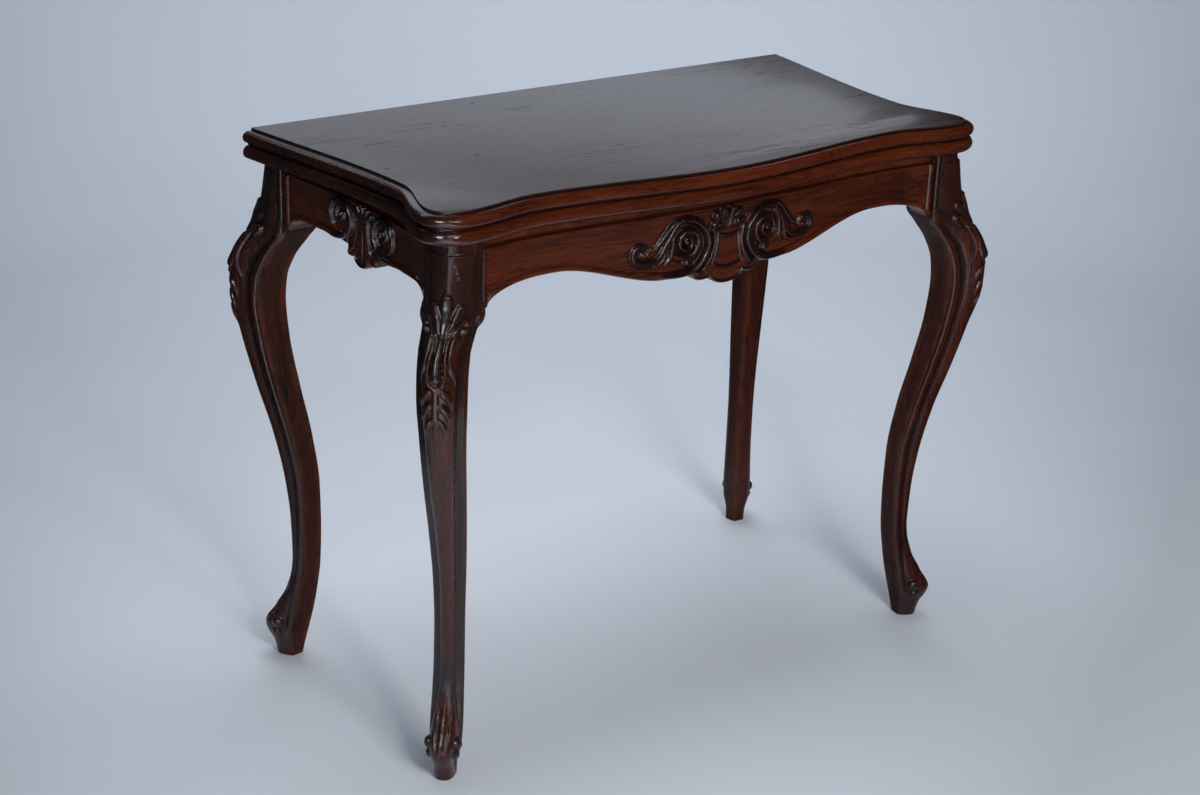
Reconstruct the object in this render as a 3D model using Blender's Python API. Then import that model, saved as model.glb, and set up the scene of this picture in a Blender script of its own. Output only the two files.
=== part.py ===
"""Folding card table: carved cabriole legs, a serpentine frame and a two-leaf swivel top.

Metres, +Z up. The origin is on the floor under the centre of the frame, the front faces -Y,
and the table is shown closed: the top square on its frame and the upper leaf folded down.
"""

import math

import bmesh
import bpy
import numpy as np

# Clearances between pieces
FIT_GAP = 0.0003
LEAF_GAP = 0.0006
OPEN_GAP = 0.0006
KNUCKLE_GAP = 0.0005
STOP_CLEAR = 0.0005

# Top: plan of the flat field, its right half
TABLE_HEIGHT = 0.750
LEAF_THICK = 0.0205
BACK_Y = 0.204
BACK_HALF_WIDTH = 0.435
WAIST_HALF_WIDTH = 0.400
WAIST_Y = -0.095
EAR_HALF_WIDTH = 0.427
EAR_SIDE_Y = -0.192
EAR_FRONT_X = 0.392
EAR_FRONT_Y = -0.2205
DIP_X = 0.290
DIP_Y = -0.2045
BELLY_Y = -0.2325

# Top: edge moulding, measured outward from the field's outline
QUIRK_STEP = 0.003
QUIRK_LEDGE = 0.002
QUIRK_FALL = 0.0005
NOSE_OUT = 0.0125
ARRIS_OUT = 0.0055
ARRIS_HEIGHT = 0.0015

# Top: recessed playing cloth
CLOTH_BORDER = 0.070
CLOTH_HALF_WIDTH = BACK_HALF_WIDTH - CLOTH_BORDER
CLOTH_FRONT_Y = -0.160
CLOTH_RADIUS = 0.040
CLOTH_THICK = 0.0012

# Legs: foot centres, and the post at the top of each leg
FOOT_X = 0.4000
FOOT_Y = 0.1940
POST_SIDE = 0.049
POST_SET_X = 0.035
POST_SET_Y = 0.028
POST_FRONT = 0.0225
RIB_WIDTH = 0.0062
RIB_DEPTH = 0.0026
RIB_SHARE = 0.40
RIB_ROOT = 1.30
# Rows of a leg: height above the floor, back, front and half width across the diagonal
FOOT_ROWS = (
    (0.000, -0.0190, 0.0190, 0.0137),
    (0.018, -0.0195, 0.0235, 0.0150),
    (0.044, -0.0250, 0.0350, 0.0205),
    (0.070, -0.0310, 0.0190, 0.0212),
    (0.100, -0.0365, 0.0040, 0.0205),
    (0.150, -0.0425, -0.0040, 0.0197),
    (0.205, -0.0440, -0.0025, 0.0195),
    (0.260, -0.0430, 0.0035, 0.0207),
    (0.330, -0.0340, 0.0180, 0.0235),
    (0.400, -0.0190, 0.0390, 0.0263),
)
# Rows of a leg: drop below the frame's top, back, front and half width across the diagonal
KNEE_ROWS = (
    (0.238, -0.0062, 0.0575, 0.0285),
    (0.188, -0.0025, 0.0675, 0.0305),
    (0.158, -0.0050, 0.0678, 0.0308),
    (0.128, -0.0160, 0.0598, 0.0310),
    (0.103, -0.0330, 0.0465, 0.0325),
)
POST_MID_DROP = 0.051
PLUG_HEIGHT = 0.022
PLUG_FLAT = 0.30
KNEE_FULLNESS = 2.6
POST_FULLNESS = 1.5
SHOULDER_SHARE = 0.20
SHOULDER_ROWS = ((0.120, 0.52), (0.280, 0.53), (0.400, 0.62), (0.560, 0.71))
SHOULDER_LOW = 0.060
SHOULDER_HIGH = 0.120
SHOULDER_LEAST = 0.06
POST_HIGH_FLARE = 1.25
POST_LOW_FLARE = 1.65

# Legs: carved drop on the knee, and the beads of the scroll foot
DROP_LENGTH = 0.036
DROP_WIDTH = 0.0075
DROP_DEPTH = 0.0080
DROP_SUNK = 0.0010
DROP_BELOW_TOP = 0.146
CURL_BELOW_TOP = 0.0975
CURL_WIDE = 0.0050
CURL_TALL = 0.0100
BEAD_LARGE = 0.0078
BEAD_SMALL = 0.0062
BEAD_UPPER_REACH = 0.40
BEAD_LOWER_REACH = 0.46
BEAD_SPREAD = 0.88

# Aprons
APRON_INNER_X = 0.376
APRON_INNER_Y = 0.181
FRONT_FACE_MID = 0.2165
FRONT_FACE_DIP = 0.2040
FRONT_DIP_X = 0.290
FRONT_FACE_END = 0.2100
SIDE_FACE_MID = 0.3960
SIDE_FACE_END = 0.4090
BACK_FACE = 0.2030
NECK_HEIGHT = 0.0125
NECK_DEPTH = 0.0065
EDGE_BEAD_HEIGHT = 0.0080
EDGE_BEAD_OUT = 0.0028
EDGE_BEAD_LOW = 0.0016
EDGE_BEAD_HIGH = 0.0060
GROOVE_DEPTH = 0.0011
GROOVE_RISE = 0.0028
END_BEAD_WIDTH = 0.0060
END_BEAD_OUT = 0.0026
# Drops of the lower edges below the frame's top
FRONT_MID_DROP = 0.0965
FRONT_ARCH_DROP = 0.0605
FRONT_ARCH_X = 0.258
FRONT_LOW_X = 0.088
SIDE_MID_DROP = 0.0705
SIDE_ARCH_DROP = 0.0665
BACK_DROP = 0.0680
END_DROP = 0.0850
FRONT_BRACKET = 0.095
SIDE_BRACKET = 0.036
BRACKET_FLAT = 0.007
TENON_LENGTH = 0.011
TENON_THICK = 0.009
TENON_HEIGHT = 0.038
TENON_TOP_DROP = 0.017

# Carving on the front apron: drops below the frame's top
SCROLL_X = 0.0665
SCROLL_DROP = 0.0530
SCROLL_RADIUS = 0.0375
SCROLL_EYE = 0.0055
SCROLL_TURNS = 1.65
SCROLL_END = math.radians(270.0)
SCROLL_WIDTH = 0.0085
SCROLL_EYE_WIDTH = 0.0042
CARVING_OUT = 0.0062
CARVING_SINK = 0.0040
BAND_SHOULDER = 0.35
BAND_CREST = 0.45
TAIL_X = 0.0900
TAIL_DROP = 0.0270
TAIL_FALL = 1.8
TAIL_WIDTH = 0.0136
CURL_X = 0.131
CURL_DROP = 0.0545
CURL_RADIUS = 0.0135
CURL_SWEEP = math.radians(288.0)
SHELL_DROP = 0.0365
SHELL_RADIUS = 0.0275
SHELL_LOBES = 5
SHELL_EDGE = math.radians(15.0)
SHELL_SQUASH = 0.85
SHELL_ROOT = 0.15
SHELL_WIDTHS = (0.0038, 0.0070, 0.0085, 0.0042)
SHIELD_TOP_DROP = 0.040
SHIELD_HALF_WIDTH = 0.023
LIP_DROP = 0.101
LIP_HALF_WIDTH = 0.050
LIP_MIDDLE_HALF = 0.026
LIP_MIDDLE_DEPTH = 0.0130
LIP_SIDE_DEPTH = 0.0035
PLATE_OUT = 0.0040
PLATE_THICK = 0.018
PLATE_HOLLOW = 3

# Carving on the side aprons
SIDE_SCROLL_Y = 0.050
SIDE_SCROLL_DROP = 0.0405
SIDE_SCROLL_RADIUS = 0.0250
SIDE_SCROLL_TURNS = 1.4
SIDE_SCROLL_WIDTH = 0.0072
PENDANT_DROP = 0.0785
PENDANT_TOP_DROP = 0.0200
PENDANT_HALF_WIDTH = 0.0150
PENDANT_LIP_HALF = 0.0360
PENDANT_MIDDLE_HALF = 0.0160

# Card well and pivot
WELL_DEPTH = 0.045
WELL_BOARD = 0.007
PARTITION_THICK = 0.010
LEDGER_WIDTH = 0.012
LEDGER_HEIGHT = 0.0095
RAIL_THICK = 0.022
BUSH_OUTER = 0.0125
BOLT_RADIUS = 0.0080
BOLT_CLEAR = 0.0004
FLANGE_RADIUS = 0.0300
FLANGE_THICK = 0.0030
FLANGE_SCREWS = 3
WASHER_RADIUS = 0.0190
WASHER_THICK = 0.0020
NUT_RADIUS = 0.0140
NUT_HEIGHT = 0.0100
BOLT_END = 0.0030
STOP_RADIUS = 0.085
PEG_RADIUS = 0.0060
PEG_SEAT = 0.0100
PEG_REACH = 0.0140

# Hinges and screws
HINGE_INSET = 0.030
HINGE_X = BACK_HALF_WIDTH - HINGE_INSET
HINGE_LENGTH = 0.036
HINGE_WIDTH = 0.020
HINGE_PLATE = 0.0016
TONGUE_SKIN = 0.0002
KNUCKLE_RADIUS = 0.0030
PIN_RADIUS = 0.0013
PIN_CLEAR = 0.0003
SCREW_PITCH = 0.0120
SCREW_INSET = 0.0130
SCREW_HEAD = 0.0032
SCREW_SHANK = 0.0018
SCREW_LENGTH = 0.0110
SCREW_TIP = 0.0007
SCREW_TAPER = 0.0044
SCREW_CONE = 0.0014

# Heights and places that follow from the sizes above
UPPER_BASE = TABLE_HEIGHT - LEAF_THICK
LOWER_TOP = UPPER_BASE - LEAF_GAP
LOWER_BASE = LOWER_TOP - LEAF_THICK
FRAME_TOP = LOWER_BASE - FIT_GAP
NECK_BASE = FRAME_TOP - NECK_HEIGHT
FOLD_Y = BACK_Y + OPEN_GAP / 2
FOLD_Z = LOWER_TOP + LEAF_GAP / 2
PIVOT = (BACK_Y / 2, BACK_Y / 2)
POST_INNER_X = FOOT_X - POST_SET_X
POST_INNER_Y = FOOT_Y - POST_SET_Y
DIAGONAL = math.sqrt(2.0)
RAIL_HALF_WIDTH = STOP_RADIUS / DIAGONAL - PEG_RADIUS - STOP_CLEAR
RAIL_BASE = FRAME_TOP - RAIL_THICK
WELL_FLOOR = FRAME_TOP - WELL_DEPTH
WELL_BASE = WELL_FLOOR - WELL_BOARD
CUT_PAST = LEAF_GAP / 3

# Plain colours of the materials
MAHOGANY = (0.115, 0.034, 0.016)
SECONDARY_WOOD = (0.34, 0.21, 0.11)
GREEN_CLOTH = (0.03, 0.13, 0.07)
BRASS = (0.62, 0.43, 0.16)
IRON = (0.20, 0.19, 0.18)
POLISHED = 0.28
SAWN = 0.60
NAPPED = 0.95
DULL_METAL = 0.45

# Facet counts
SIDE_STEPS = 8
EAR_STEPS = 6
BELLY_STEPS = 10
NOSE_STEPS = 6
FRONT_ARC_STEPS = 8
ROW_PITCH = 0.028
FRONT_APRON_STEPS = 22
SIDE_APRON_STEPS = 14
ROUND_STEPS = 12
SCREW_STEPS = 6
BEAD_STEPS = 8
SCROLL_STEPS = 14
CURL_STEPS = 9
TAIL_STEPS = 4
SHARP_ANGLE = math.radians(35.0)


# Scene, materials and objects


def clear_scene():
    for obj in list(bpy.data.objects):
        bpy.data.objects.remove(obj, do_unlink=True)


def finish(name, colour, roughness, metallic=0.0):
    """A Principled material of one plain colour."""
    material = bpy.data.materials.new(name)
    material.use_nodes = True
    shader = material.node_tree.nodes["Principled BSDF"]
    shader.inputs["Base Color"].default_value = (*colour, 1.0)
    shader.inputs["Roughness"].default_value = roughness
    shader.inputs["Metallic"].default_value = metallic
    return material


def add_object(name, bm, material=None):
    """Turns a bmesh into a named object with outward faces; with no material it is a helper."""
    bmesh.ops.recalc_face_normals(bm, faces=bm.faces)
    mesh = bpy.data.meshes.new(name)
    bm.to_mesh(mesh)
    bm.free()
    mesh.shade_smooth()
    mesh.set_sharp_from_angle(angle=SHARP_ANGLE)
    obj = bpy.data.objects.new(name, mesh)
    bpy.context.scene.collection.objects.link(obj)
    if material is None:
        obj.hide_render = True
        obj.display_type = "WIRE"
    else:
        mesh.materials.append(material)
    return obj


def combine(target, other, operation):
    """Adds a Boolean of another object to the target."""
    modifier = target.modifiers.new(f"{operation.lower()} {other.name}", "BOOLEAN")
    modifier.operation = operation
    modifier.solver = "EXACT"
    modifier.object = other


def cut(target, *cutters):
    for cutter in cutters:
        combine(target, cutter, "DIFFERENCE")


def join(target, *pieces):
    for piece in pieces:
        combine(target, piece, "UNION")


# Solids


def add_loft(bm, rings, closed=False):
    """Skins closed rings of equal length into bm, with end caps unless the loft closes on itself."""
    loops = [[bm.verts.new(point) for point in ring] for ring in rings]
    pairs = list(zip(loops, loops[1:]))
    if closed:
        pairs.append((loops[-1], loops[0]))
    for low, high in pairs:
        for i in range(len(low)):
            j = (i + 1) % len(low)
            bm.faces.new((low[i], low[j], high[j], high[i]))
    if not closed:
        bm.faces.new(loops[0])
        bm.faces.new(loops[-1])


def loft(name, rings, material=None, closed=False):
    bm = bmesh.new()
    add_loft(bm, rings, closed)
    return add_object(name, bm, material)


def box(name, low, high, material=None):
    corners = ((low[0], low[1]), (high[0], low[1]), (high[0], high[1]), (low[0], high[1]))
    return loft(name, [[(x, y, z) for x, y in corners] for z in (low[2], high[2])], material)


def prism(name, outline, base, top, material=None):
    """A flat outline in plan, between two heights."""
    return loft(name, [[(x, y, z) for x, y in outline] for z in (base, top)], material)


def circle(radius, steps):
    turns = [2 * math.pi * i / steps for i in range(steps)]
    return [(radius * math.cos(a), radius * math.sin(a)) for a in turns]


def add_turned(bm, profile, centre, steps, along="Z", closed=False):
    """Skins (radius, distance) pairs about an axis through centre along Z or X."""
    rings = []
    for radius, distance in profile:
        if along == "Z":
            ring = [(centre[0] + a, centre[1] + b, centre[2] + distance) for a, b in circle(radius, steps)]
        else:
            ring = [(centre[0] + distance, centre[1] + a, centre[2] + b) for a, b in circle(radius, steps)]
        rings.append(ring)
    add_loft(bm, rings, closed)


def turned(name, profile, centre, material=None, steps=ROUND_STEPS, along="Z", closed=False):
    bm = bmesh.new()
    add_turned(bm, profile, centre, steps, along, closed)
    return add_object(name, bm, material)


def tapered(count, first, last):
    """Evenly stepped values from the first to the last."""
    return [first + (last - first) * i / (count - 1) for i in range(count)]


def smooth(points, at, start_slope=None, end_slope=None):
    """Shape-preserving cubic through (x, y) points, read at one x."""
    xs = np.array([p[0] for p in points], float)
    ys = np.array([p[1] for p in points], float)
    rises = np.diff(ys) / np.diff(xs)
    slopes = np.concatenate(([rises[0]], np.zeros(len(xs) - 2), [rises[-1]]))
    for i in range(1, len(xs) - 1):
        before, after = rises[i - 1], rises[i]
        if before * after > 0:
            slopes[i] = 2 * before * after / (before + after)
    if start_slope is not None:
        slopes[0] = start_slope
    if end_slope is not None:
        slopes[-1] = end_slope
    k = int(np.clip(np.searchsorted(xs, at, side="right") - 1, 0, len(xs) - 2))
    span = xs[k + 1] - xs[k]
    t = (at - xs[k]) / span
    rise = t * t * (3 - 2 * t)
    lift = t * (1 - t) * (1 - t) * slopes[k] * span
    drop = t * t * (t - 1) * slopes[k + 1] * span
    return float(ys[k] + (ys[k + 1] - ys[k]) * rise + lift + drop)


# Top leaves


def field_path():
    """The field's outline as an open path: back right corner, right ear, belly, left ear, back left."""
    half = []
    side = ((EAR_SIDE_Y, EAR_HALF_WIDTH), (WAIST_Y, WAIST_HALF_WIDTH), (BACK_Y, BACK_HALF_WIDTH))
    for i in range(SIDE_STEPS):
        y = BACK_Y + (EAR_SIDE_Y - BACK_Y) * i / SIDE_STEPS
        half.append((smooth(side, y, start_slope=0.0), y))
    for i in range(EAR_STEPS):
        a = math.pi / 2 * i / EAR_STEPS
        x = EAR_FRONT_X + (EAR_HALF_WIDTH - EAR_FRONT_X) * math.cos(a)
        half.append((x, EAR_SIDE_Y + (EAR_FRONT_Y - EAR_SIDE_Y) * math.sin(a)))
    front = ((0.0, BELLY_Y), (DIP_X, DIP_Y), (EAR_FRONT_X, EAR_FRONT_Y))
    for i in range(BELLY_STEPS):
        x = EAR_FRONT_X * (1 - i / BELLY_STEPS)
        half.append((x, smooth(front, x, start_slope=0.0, end_slope=0.0)))
    mirrored = [(-x, y) for x, y in reversed(half)]
    return half + [(0.0, BELLY_Y)] + mirrored


def offset_path(path, distance):
    """Moves an open path outward; its two ends slide along the straight back edge."""
    points = np.array(path)
    tangents = np.gradient(points, axis=0)
    normals = np.stack([-tangents[:, 1], tangents[:, 0]], axis=1)
    normals /= np.linalg.norm(normals, axis=1)[:, None]
    normals[0] = (1.0, 0.0)
    normals[-1] = (-1.0, 0.0)
    return [tuple(p) for p in points + normals * distance]


def nose_profile(crown_out, crown_drop, arris_out):
    """Offsets and heights of the rounded edge, from the crown down to the arris at the base."""
    top = LEAF_THICK - crown_drop
    middle = (top + ARRIS_HEIGHT) / 2
    rows = []
    for i in range(NOSE_STEPS):
        share = i / (NOSE_STEPS - 1)
        a = math.pi / 2 - math.pi * share
        base = crown_out + (arris_out - crown_out) * share
        rows.append((base + (NOSE_OUT - base) * math.cos(a), middle + (top - middle) * math.sin(a)))
    return rows + [(arris_out, 0.0)]


def leaf(name, base, profile, material):
    path = field_path()
    rings = [[(x, y, base + height) for x, y in offset_path(path, out)] for out, height in profile]
    return loft(name, rings, material)


def cloth_outline(inset, past_back):
    """Plan of the cloth: square at the fold, rounded at the two front corners."""
    half = CLOTH_HALF_WIDTH - inset
    front = CLOTH_FRONT_Y + inset
    radius = CLOTH_RADIUS - inset
    points = [(half, BACK_Y + past_back)]
    for i in range(EAR_STEPS + 1):
        a = math.pi / 2 * i / EAR_STEPS
        points.append((half - radius + radius * math.cos(a), front + radius - radius * math.sin(a)))
    return points + [(-x, y) for x, y in reversed(points)]


# Hinges


def screw_profile(grow):
    """Countersunk screw from its tip to its head, grown by a clearance when it is a hole."""
    return (
        (SCREW_TIP + grow, -SCREW_LENGTH - grow),
        (SCREW_SHANK + grow, SCREW_TAPER - SCREW_LENGTH),
        (SCREW_SHANK + grow, -SCREW_CONE),
        (SCREW_HEAD + grow, grow / 2 - FIT_GAP),
        (SCREW_HEAD + grow, grow),
    )


def facing(profile, up):
    """Turns a profile over when its head faces down."""
    return profile if up else tuple((radius, -distance) for radius, distance in reversed(profile))


def screw_places(centre_x):
    return [(centre_x + SCREW_PITCH * i, BACK_Y - SCREW_INSET) for i in (-1, 0, 1)]


def screw_holes(name, places, height, up):
    """One cutter with a hole for each screw."""
    bm = bmesh.new()
    for x, y in places:
        add_turned(bm, facing(screw_profile(FIT_GAP), up), (x, y, height), SCREW_STEPS)
    return add_object(name, bm)


def knuckle_spans(is_lower):
    """Stretches of the barrel, along X from the hinge's centre, that belong to one plate."""
    end = HINGE_LENGTH / 2
    middle = end / 3
    if is_lower:
        return ((-end, -middle - KNUCKLE_GAP), (middle + KNUCKLE_GAP, end))
    return ((-middle, middle),)


def hinge_plate(name, centre_x, is_lower, material):
    """A hinge plate let into a leaf's inner face, with its share of the barrel."""
    face = LOWER_TOP if is_lower else UPPER_BASE
    inward = -1 if is_lower else 1
    clear = KNUCKLE_RADIUS + KNUCKLE_GAP
    low, high = sorted((face, face + inward * HINGE_PLATE))
    left, right = centre_x - HINGE_LENGTH / 2, centre_x + HINGE_LENGTH / 2
    plate = box(name, (left, BACK_Y - HINGE_WIDTH, low), (right, BACK_Y - clear, high), material)
    for i, (start, end) in enumerate(knuckle_spans(is_lower)):
        tongue_low = (centre_x + start, BACK_Y - clear - HINGE_PLATE, low + TONGUE_SKIN)
        tongue_high = (centre_x + end, FOLD_Y, high - TONGUE_SKIN)
        barrel = ((KNUCKLE_RADIUS, start), (KNUCKLE_RADIUS, end))
        join(plate, box(f"{name}_tongue_{i}", tongue_low, tongue_high))
        join(plate, turned(f"{name}_barrel_{i}", barrel, (centre_x, FOLD_Y, FOLD_Z), along="X"))
    reach = HINGE_LENGTH
    bore = ((PIN_RADIUS + PIN_CLEAR, -reach), (PIN_RADIUS + PIN_CLEAR, reach))
    cut(plate, turned(f"{name}_bore", bore, (centre_x, FOLD_Y, FOLD_Z), along="X"))
    return plate


def hinge_recess(name, centre_x, is_lower):
    """Cutters for a hinge plate and for the barrel, with their clearances."""
    face = LOWER_TOP if is_lower else UPPER_BASE
    inward = -1 if is_lower else 1
    low, high = sorted((face - inward * CUT_PAST, face + inward * (HINGE_PLATE + FIT_GAP)))
    left = centre_x - HINGE_LENGTH / 2 - FIT_GAP
    right = centre_x + HINGE_LENGTH / 2 + FIT_GAP
    front = BACK_Y - HINGE_WIDTH - FIT_GAP
    plate = box(f"{name}_plate_recess", (left, front, low), (right, FOLD_Y + KNUCKLE_RADIUS, high))
    radius = KNUCKLE_RADIUS + KNUCKLE_GAP
    reach = HINGE_LENGTH / 2 + KNUCKLE_GAP
    notch = ((radius, -reach), (radius, reach))
    return plate, turned(f"{name}_notch", notch, (centre_x, FOLD_Y, FOLD_Z), along="X")


# Legs


def leg_rows():
    """Rows of one leg from the floor to the frame's top, with the neck under the leaf."""
    post_back = -(POST_SET_X + POST_SET_Y) / DIAGONAL
    post_half = POST_SIDE / DIAGONAL
    rows = list(FOOT_ROWS)
    rows += [(FRAME_TOP - drop, back, front, half) for drop, back, front, half in KNEE_ROWS]
    rows.append((FRAME_TOP - END_DROP, post_back, POST_FRONT * POST_LOW_FLARE, post_half))
    rows.append((FRAME_TOP - POST_MID_DROP, post_back, POST_FRONT * POST_HIGH_FLARE, post_half))
    rows.append((NECK_BASE, post_back, POST_FRONT, post_half))
    return rows


def leg_section(height, rows):
    """One ring of a leg in its diagonal plane: outward, sideways and up."""
    back, front, half = (smooth([(row[0], row[k]) for row in rows], height) for k in (1, 2, 3))
    knee_drop = KNEE_ROWS[-2][0]
    post = min(max((height - FRAME_TOP + knee_drop) / (knee_drop - END_DROP), 0.0), 1.0)
    fullness = KNEE_FULLNESS + (POST_FULLNESS - KNEE_FULLNESS) * post
    plug = min(max(1.0 - height / PLUG_HEIGHT, 0.0), 1.0)
    ridge = back + half
    rib = min(RIB_WIDTH, RIB_SHARE * (front - ridge)) * (1 - plug)
    groove = RIB_DEPTH * (1 - plug)
    points = [(back + plug * PLUG_FLAT * half, 0.0), (ridge, half), (ridge + rib, half)]
    start, width = ridge + RIB_ROOT * rib, half - groove
    rise = min(max((height - SHOULDER_LOW) / (SHOULDER_HIGH - SHOULDER_LOW), 0.0), 1.0)
    keep = max(rise * (1 - post * post), SHOULDER_LEAST)
    points.append((start, width))
    start += keep * SHOULDER_SHARE * (front - start)
    within = min(max(height, SHOULDER_ROWS[0][0]), SHOULDER_ROWS[-1][0])
    width *= 1 - keep * (1 - smooth(SHOULDER_ROWS, within))
    for i in range(FRONT_ARC_STEPS + 1):
        a = math.pi * i / FRONT_ARC_STEPS
        side = math.copysign(abs(math.cos(a)) ** (2 / fullness), math.cos(a))
        points.append((start + (front - start) * math.sin(a) ** (2 / fullness), width * side))
    points += [(ridge + RIB_ROOT * rib, groove - half), (ridge + rib, -half), (ridge, -half)]
    shift = post * (POST_SET_Y - POST_SET_X) / DIAGONAL
    return [(out, across + shift, height) for out, across in points]


def on_leg(corner, out, across, height):
    """World point of a place in a leg's diagonal plane."""
    x = FOOT_X + (out + across) / DIAGONAL
    y = FOOT_Y + (out - across) / DIAGONAL
    return (corner[0] * x, corner[1] * y, height)


def neck_ring(height, rows):
    """Ring of the post drawn in under the leaf, flat on the two faces that meet the aprons."""
    back, front, half = rows[-1][1:]
    drawn = (*rows[:-1], (rows[-1][0], back, front - NECK_DEPTH, half - NECK_DEPTH / DIAGONAL))
    return [(out, across, height) for out, across, _ in leg_section(rows[-1][0], drawn)]


def leg_rings():
    rows = leg_rows()
    heights = []
    for low, high in zip(rows, rows[1:]):
        steps = max(1, round((high[0] - low[0]) / ROW_PITCH))
        heights += tapered(steps + 1, low[0], high[0])[:-1]
    rings = [leg_section(height, rows) for height in heights + [rows[-1][0]]]
    return rings + [neck_ring(NECK_BASE + NECK_DEPTH / 2, rows), neck_ring(FRAME_TOP, rows)]


def ellipsoid(name, corner, centre, radii, lean=0.0):
    """A rounded bead in a leg's diagonal plane; lean is how far it moves out for its rise."""
    rings = []
    stations = BEAD_STEPS - 2
    for i in range(1, stations):
        a = math.pi * i / stations
        ring = []
        for b, c in circle(math.sin(a), BEAD_STEPS):
            rise = -radii[2] * math.cos(a)
            out = centre[0] + radii[0] * b + lean * rise
            ring.append(on_leg(corner, out, centre[1] + radii[1] * c, centre[2] + rise))
        rings.append(ring)
    return loft(name, rings)


def leg(name, corner, material):
    """A cabriole leg on the table's diagonal, mortised for the two aprons that meet it."""
    rings = [[on_leg(corner, *point) for point in ring] for ring in leg_rings()]
    obj = loft(name, rings, material)
    rows = leg_rows()
    drop_height = FRAME_TOP - DROP_BELOW_TOP
    fronts = [(row[0], row[2]) for row in rows]
    above, below = (smooth(fronts, drop_height + end) for end in (DROP_LENGTH, -DROP_LENGTH))
    drop = ((above + below) / 2 - DROP_SUNK, 0.0, drop_height)
    drop_size = (DROP_DEPTH, DROP_WIDTH, DROP_LENGTH)
    lean = (above - below) / (2 * DROP_LENGTH)
    join(obj, ellipsoid(f"{name}_drop", corner, drop, drop_size, lean))
    ring = leg_section(FRAME_TOP - CURL_BELOW_TOP, rows)
    scroll = FOOT_ROWS[2]
    for side, rib_edge in ((1, ring[2]), (-1, ring[-2])):
        curl_size = (RIB_WIDTH, CURL_WIDE, CURL_TALL)
        join(obj, ellipsoid(f"{name}_curl_{side}", corner, rib_edge, curl_size))
        across = side * scroll[3] * BEAD_SPREAD
        upper = (scroll[2] * BEAD_UPPER_REACH, across, scroll[0] + BEAD_LARGE + FIT_GAP)
        lower = (scroll[2] * BEAD_LOWER_REACH, across, scroll[0] - BEAD_SMALL - FIT_GAP)
        join(obj, ellipsoid(f"{name}_bead_{side}_upper", corner, upper, (BEAD_LARGE,) * 3))
        join(obj, ellipsoid(f"{name}_bead_{side}_lower", corner, lower, (BEAD_SMALL,) * 3))
    cut(obj, *mortises(name, corner))
    return obj


# Aprons


def front_place(s, out, height):
    return (s, -out, height)


def back_place(s, out, height):
    return (s, out, height)


def left_place(s, out, height):
    return (-out, s, height)


def right_place(s, out, height):
    return (out, s, height)


def front_face(s):
    """Distance of the front apron's face from the table's centre, along its serpentine plan."""
    end = POST_INNER_X
    points = ((0.0, FRONT_FACE_MID), (FRONT_DIP_X, FRONT_FACE_DIP), (end, FRONT_FACE_END))
    return smooth(points, abs(s), start_slope=0.0)


def side_face(s):
    """Distance of a side apron's face from the table's centre: hollow in plan, like the top."""
    return SIDE_FACE_MID + (SIDE_FACE_END - SIDE_FACE_MID) * (s / POST_INNER_Y) ** 2


def back_face(_):
    return BACK_FACE


def bracket(s, end, length, arch_drop):
    """Drop of a lower edge that falls in a hollow curve to a short flat beside the leg."""
    share = (abs(s) - end + length) / (length - BRACKET_FLAT)
    share = min(max(share, 0.0), 1.0)
    return arch_drop + (END_DROP - arch_drop) * (1 - math.sqrt(1 - share * share))


def front_edge(s):
    """Height of the front apron's lower edge: low under the carving, arched, then bracketed."""
    if abs(s) > FRONT_ARCH_X:
        return FRAME_TOP - bracket(s, POST_INNER_X, FRONT_BRACKET, FRONT_ARCH_DROP)
    points = ((0.0, FRONT_MID_DROP), (FRONT_LOW_X, FRONT_MID_DROP), (FRONT_ARCH_X, FRONT_ARCH_DROP))
    return FRAME_TOP - smooth(points, abs(s), end_slope=0.0)


def side_edge(s):
    """Height of a side apron's lower edge."""
    start = POST_INNER_Y - SIDE_BRACKET
    if abs(s) > start:
        return FRAME_TOP - bracket(s, POST_INNER_Y, SIDE_BRACKET, SIDE_ARCH_DROP)
    points = ((0.0, SIDE_MID_DROP), (start, SIDE_ARCH_DROP))
    return FRAME_TOP - smooth(points, abs(s), start_slope=0.0, end_slope=0.0)


def back_edge(_):
    return FRAME_TOP - BACK_DROP


def moulded_section(s, inner, face, low, raised):
    """Section of a shaped apron: beaded lower edge, plain panel and a neck under the leaf."""
    panel = face + raised
    groove = low + EDGE_BEAD_HEIGHT
    return [
        (s, inner, FRAME_TOP),
        (s, inner, low),
        (s, face, low),
        (s, face + EDGE_BEAD_OUT, low + EDGE_BEAD_LOW),
        (s, face + EDGE_BEAD_OUT, low + EDGE_BEAD_HIGH),
        (s, panel - GROOVE_DEPTH, groove),
        (s, panel, groove + GROOVE_RISE),
        (s, panel, NECK_BASE),
        (s, face - NECK_DEPTH, NECK_BASE + NECK_DEPTH / 2),
        (s, face - NECK_DEPTH, FRAME_TOP),
    ]


def apron_stations(end, steps):
    """Places along an apron, closer near its ends, where an upright bead stands beside each leg."""
    inside = end - END_BEAD_WIDTH
    rise = END_BEAD_OUT / 2
    turns = tapered(steps + 1, -math.pi / 2, math.pi / 2)
    stations = [(inside * math.sin(a), 0.0) for a in turns]
    stations += [(inside + rise, END_BEAD_OUT), (end, END_BEAD_OUT)]
    return [(-end, END_BEAD_OUT), (-inside - rise, END_BEAD_OUT)] + stations


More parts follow.
